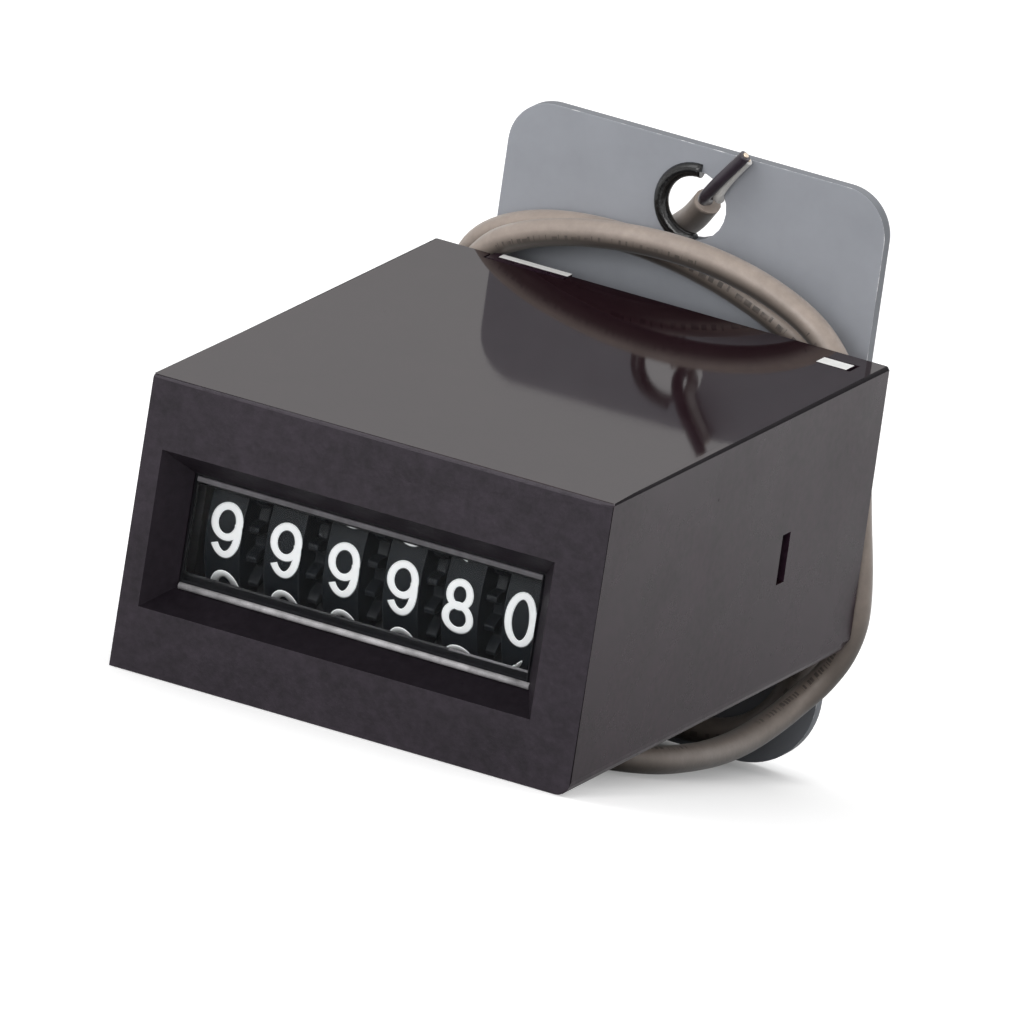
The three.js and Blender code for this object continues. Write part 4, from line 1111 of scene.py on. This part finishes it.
class COUNTER_OT_window(Operator):
    """Makes the clear lens, the grey bead under it, a painted highlight, and the dark border behind it,
    painted shade.
    """

    bl_idname = "counter.window"
    bl_label = "Window"

    def execute(self, context):
        low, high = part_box("window_lens")
        form = round_edges(merged_copy("window_lens"), 0.08 * MM, 2)
        pane_low = min(v.co.z for v in form.verts if v.co.y < low.y + 1e-5)
        pane_high = max(v.co.z for v in form.verts if v.co.y < low.y + 1e-5)
        lower, upper = pane_low + PANE_LOW_BAND, pane_high - PANE_HIGH_BAND
        for level in (lower, upper):
            cut_at(form, (0, 0, level), (0, 0, 1))
        for face in form.faces:
            middle, normal = face.calc_center_median(), face.normal
            if abs(normal.x) > 0.3:
                face.material_index = 2
            # The lens's sides, top and bottom faces and the pane's lower band are dark border, painted
            # shade; the pane's upper band is a painted highlight.
            elif middle.y < low.y + PANE_SKIN:
                face.material_index = 2 if middle.z < lower else 1 if middle.z > upper else 0
            elif abs(normal.z) > 0.5 or normal.y < -0.5:
                face.material_index = 2
        lean_front(form)
        add_piece(
            form, "window_lens_moulding", "housing",
            ["lens", "lens rim", "border"], ["window_lens"],
        )
        self.make_bead(pane_low)
        self.make_border(low, high)
        return {"FINISHED"}

    def make_bead(self, level):
        """A grey bead along the opening's lower edge, a painted highlight in place of the bright line along
        the lens's edge.
        """
        lean = FRONT_LEAN * (CASE_TOP_Z - level) / (CASE_TOP_Z - CASE_LOW_Z)
        y, z = FRONT_Y + 1.75 * MM - lean, level - 0.07 * MM
        line = [Vector((x * MM, y, z)) for x in BEAD_X]
        tube("lens_highlight_bead", line, BEAD_DIAMETER, "housing", "lens edge", (), 3)

    def make_border(self, low, high):
        """The dark border behind the lens, whose opening shows one row of digits; it is painted shade over
        the wheels above and below that row.
        """
        form = bmesh.new()
        bmesh.ops.create_grid(form, x_segments=1, y_segments=1, size=0.5)
        size = (high.x - low.x - 0.1 * MM, high.z - low.z - 0.1 * MM, 1)
        bmesh.ops.scale(form, vec=size, verts=form.verts)
        upright = Matrix.Rotation(math.radians(90), 3, "X")
        bmesh.ops.rotate(form, cent=(0, 0, 0), matrix=upright, verts=form.verts)
        place = ((low.x + high.x) / 2, high.y + 0.05 * MM, (low.z + high.z) / 2)
        bmesh.ops.translate(form, vec=place, verts=form.verts)
        left, right, bottom, top = OPENING
        for x in (left, right):
            cut_at(form, (x, 0, 0), (1, 0, 0))
        for z in (bottom, top):
            cut_at(form, (0, 0, z), (0, 0, 1))
        opening = [
            face for face in form.faces
            if left < face.calc_center_median().x < right and bottom < face.calc_center_median().z < top
        ]
        bmesh.ops.delete(form, geom=opening, context="FACES")
        grown = bmesh.ops.extrude_face_region(form, geom=form.faces[:])
        moved = [item for item in grown["geom"] if isinstance(item, bmesh.types.BMVert)]
        bmesh.ops.translate(form, vec=(0, 0.24 * MM, 0), verts=moved)
        bmesh.ops.recalc_face_normals(form, faces=form.faces)
        cut_at(form, (LIT_FROM_X, 0, 0), (1, 0, 0))
        round_edges(form, 0.19 * MM, 1)
        # Painted highlight: the border's lower edge, right of LIT_FROM_X, takes the grey rim finish.
        for face in form.faces:
            middle, normal = face.calc_center_median(), face.normal
            low_edge = abs(middle.z - bottom) < 0.2 * MM and normal.z > 0.4 and normal.y < -0.4
            face.material_index = int(low_edge and middle.x > LIT_FROM_X)
        lean_front(form)
        add_piece(form, "lens_border", "housing", ["border", "lens rim"])


class COUNTER_OT_plate(Operator):
    """Makes the mounting plate, the bush in its upper hole and its two screws."""

    bl_idname = "counter.plate"
    bl_label = "Mounting plate"

    def execute(self, context):
        width = context.scene.counter_plate.edge_radius
        form = merged_copy("mounting_plate")
        low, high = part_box("mounting_plate")
        round_edges(form, 0.42 * MM, 3, only=lambda edge: self.is_rear_rim(edge, low, high))
        round_edges(form, width, 3)
        for face in form.faces:
            is_rim = abs(face.normal.y) < 0.97
            face.material_index = int(is_rim and face.calc_center_median().y > low.y + width)
        add_piece(
            form, "mounting_plate_sheet", "housing",
            ["plate", "sheared edge"], ["mounting_plate"],
        )
        self.make_bush()
        for node in ("plate_screw_lower", "plate_screw_upper"):
            dress_node(node, "steel", 0.05 * MM)
        return {"FINISHED"}

    def is_rear_rim(self, edge, low, high):
        """True for the outline's edges at the back of the sheet, and not for its holes."""
        if any(vert.co.y < high.y - 1e-5 for vert in edge.verts):
            return False
        middle_x = (low.x + high.x) / 2
        return all(
            Vector((vert.co.x - middle_x, vert.co.z - z)).length > 3 * MM
            for vert in edge.verts for z in PLATE_HOLES_Z
        )

    def make_bush(self):
        """A split bush on the upper hole's edge, where the cable comes through."""
        low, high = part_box("mounting_plate")
        line = []
        for i in range(25):
            angle = math.radians(84 + 196 * i / 24)
            x = (low.x + high.x) / 2 + BUSH_RADIUS * math.cos(angle)
            z = PLATE_HOLES_Z[0] + BUSH_RADIUS * math.sin(angle)
            line.append(Vector((x, low.y + 0.1 * MM, z)))
        tube("hole_bush", line, BUSH_DIAMETER, "housing", "bush", (), 3)


class COUNTER_OT_wheels(Operator):
    """Makes the number wheels with their printed digits."""

    bl_idname = "counter.wheels"
    bl_label = "Number wheels"

    def execute(self, context):
        settings = context.scene.counter_numbers
        for place, name in enumerate(reversed(ORDERS)):
            node = "number_wheel_" + name
            body = "wheel_" + name
            form = round_edges(merged_copy(node), 0.1 * MM, 2, 40)
            add_piece(form, node + "_moulding", body, ["wheel"], [node])
            low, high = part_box(node)
            left = low.x + (GEAR_WIDTH if name != "hundred_thousands" else 0)
            right = high.x - (GEAR_WIDTH if name != "units" else 0)
            shown, play = settings.reading[place], math.radians(DIGIT_PLAY[place])
            prints = digits_on_wheel(shown, settings, play)
            middle = (left + right) / 2 + DIGIT_ASIDE[place] * MM
            bmesh.ops.translate(prints, verts=prints.verts, vec=(middle, 0, 0))
            add_piece(prints, "digits_" + name, body, ["ink"], smooth=False)
        return {"FINISHED"}


class COUNTER_OT_movement(Operator):
    """Finishes the inner frame, shafts, pinions, star wheel, fork, armature and return spring."""

    bl_idname = "counter.movement"
    bl_label = "Movement"

    def execute(self, context):
        for node in ("inner_frame", "wheel_shaft", "pinion_shaft", "armature", "armature_pin"):
            dress_node(node, "steel", 0.06 * MM)
        for node in ("spacer_left", "spacer_right", "star_wheel"):
            dress_node(node, "nylon", 0.06 * MM)
        for i in range(1, 6):
            dress_node(f"carry_pinion_{i}", "nylon", 0.06 * MM)
        dress_node("pallet_fork", "brass", 0.06 * MM)
        self.make_spring()
        return {"FINISHED"}

    def make_spring(self):
        """A fine round-wire spring with closed end turns, in its solid's place."""
        low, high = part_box("return_spring")
        middle = (low + high) / 2
        radius = (high.x - low.x) / 2 - SPRING_INSET
        start, end = low.y + SPRING_INSET, high.y - SPRING_INSET
        steps = 24 * SPRING_TURNS
        line = []
        for i in range(steps + 1):
            share = i / steps
            angle = share * SPRING_TURNS * 2 * math.pi
            eased = share * share * (3 - 2 * share) * 0.35 + share * 0.65
            x, z = middle.x + radius * math.cos(angle), middle.z + radius * math.sin(angle)
            line.append(Vector((x, start + (end - start) * eased, z)))
        tube("return_spring_wire", line, SPRING_WIRE, "housing", "steel", ["return_spring"], 2)


class COUNTER_OT_magnet(Operator):
    """Finishes the electromagnet: bobbin, winding, core, yoke, terminal pins and inner leads."""

    bl_idname = "counter.magnet"
    bl_label = "Magnet"

    def execute(self, context):
        dress_node("coil_bobbin", "nylon", 0.1 * MM)
        dress_node("coil_winding", "winding", 0.05 * MM)
        dress_node("magnet_core", "steel", 0.1 * MM)
        dress_node("magnet_yoke", "steel", 0.1 * MM)
        for i in (1, 2):
            dress_node(f"terminal_pin_{i}", "brass", 0.05 * MM)
            dress_node(f"inner_lead_{i}", "black core" if i == 1 else "white core", 0.02 * MM)
        return {"FINISHED"}


class COUNTER_PT_sidebar(Panel):
    """Lists the counter's pieces and the sizes that may be changed."""

    bl_label = "Counter"
    bl_idname = "COUNTER_PT_sidebar"
    bl_space_type = "VIEW_3D"
    bl_region_type = "UI"
    bl_category = "Counter"

    def draw(self, context):
        layout = self.layout
        for name in GROUPS:
            group, box = getattr(context.scene, name), layout.box()
            for setting in group.__annotations__:
                box.prop(group, setting)
        for operator in OPERATORS:
            layout.operator(operator.bl_idname)


GROUPS = {
    "counter_case": CounterCase,
    "counter_numbers": CounterNumbers,
    "counter_cable": CounterCable,
    "counter_plate": CounterPlate,
    "counter_stage": CounterStage,
}
OPERATORS = (
    COUNTER_OT_camera,
    COUNTER_OT_cable,
    COUNTER_OT_case,
    COUNTER_OT_window,
    COUNTER_OT_plate,
    COUNTER_OT_wheels,
    COUNTER_OT_movement,
    COUNTER_OT_magnet,
    COUNTER_OT_stage,
)


def register():
    """Registers the settings, the operators and the panel."""
    for name, group in GROUPS.items():
        bpy.utils.register_class(group)
        setattr(bpy.types.Scene, name, PointerProperty(type=group))
    for operator in OPERATORS:
        bpy.utils.register_class(operator)
    bpy.utils.register_class(COUNTER_PT_sidebar)


def unregister():
    """Takes the panel, the operators and the settings out again."""
    bpy.utils.unregister_class(COUNTER_PT_sidebar)
    for operator in reversed(OPERATORS):
        bpy.utils.unregister_class(operator)
    for name, group in reversed(list(GROUPS.items())):
        delattr(bpy.types.Scene, name)
        bpy.utils.unregister_class(group)


def main():
    """Builds everything in order."""
    register()
    make_materials()
    for operator in OPERATORS:
        group, name = operator.bl_idname.split(".")
        getattr(getattr(bpy.ops, group), name)()


if __name__ == "__main__":
    main()
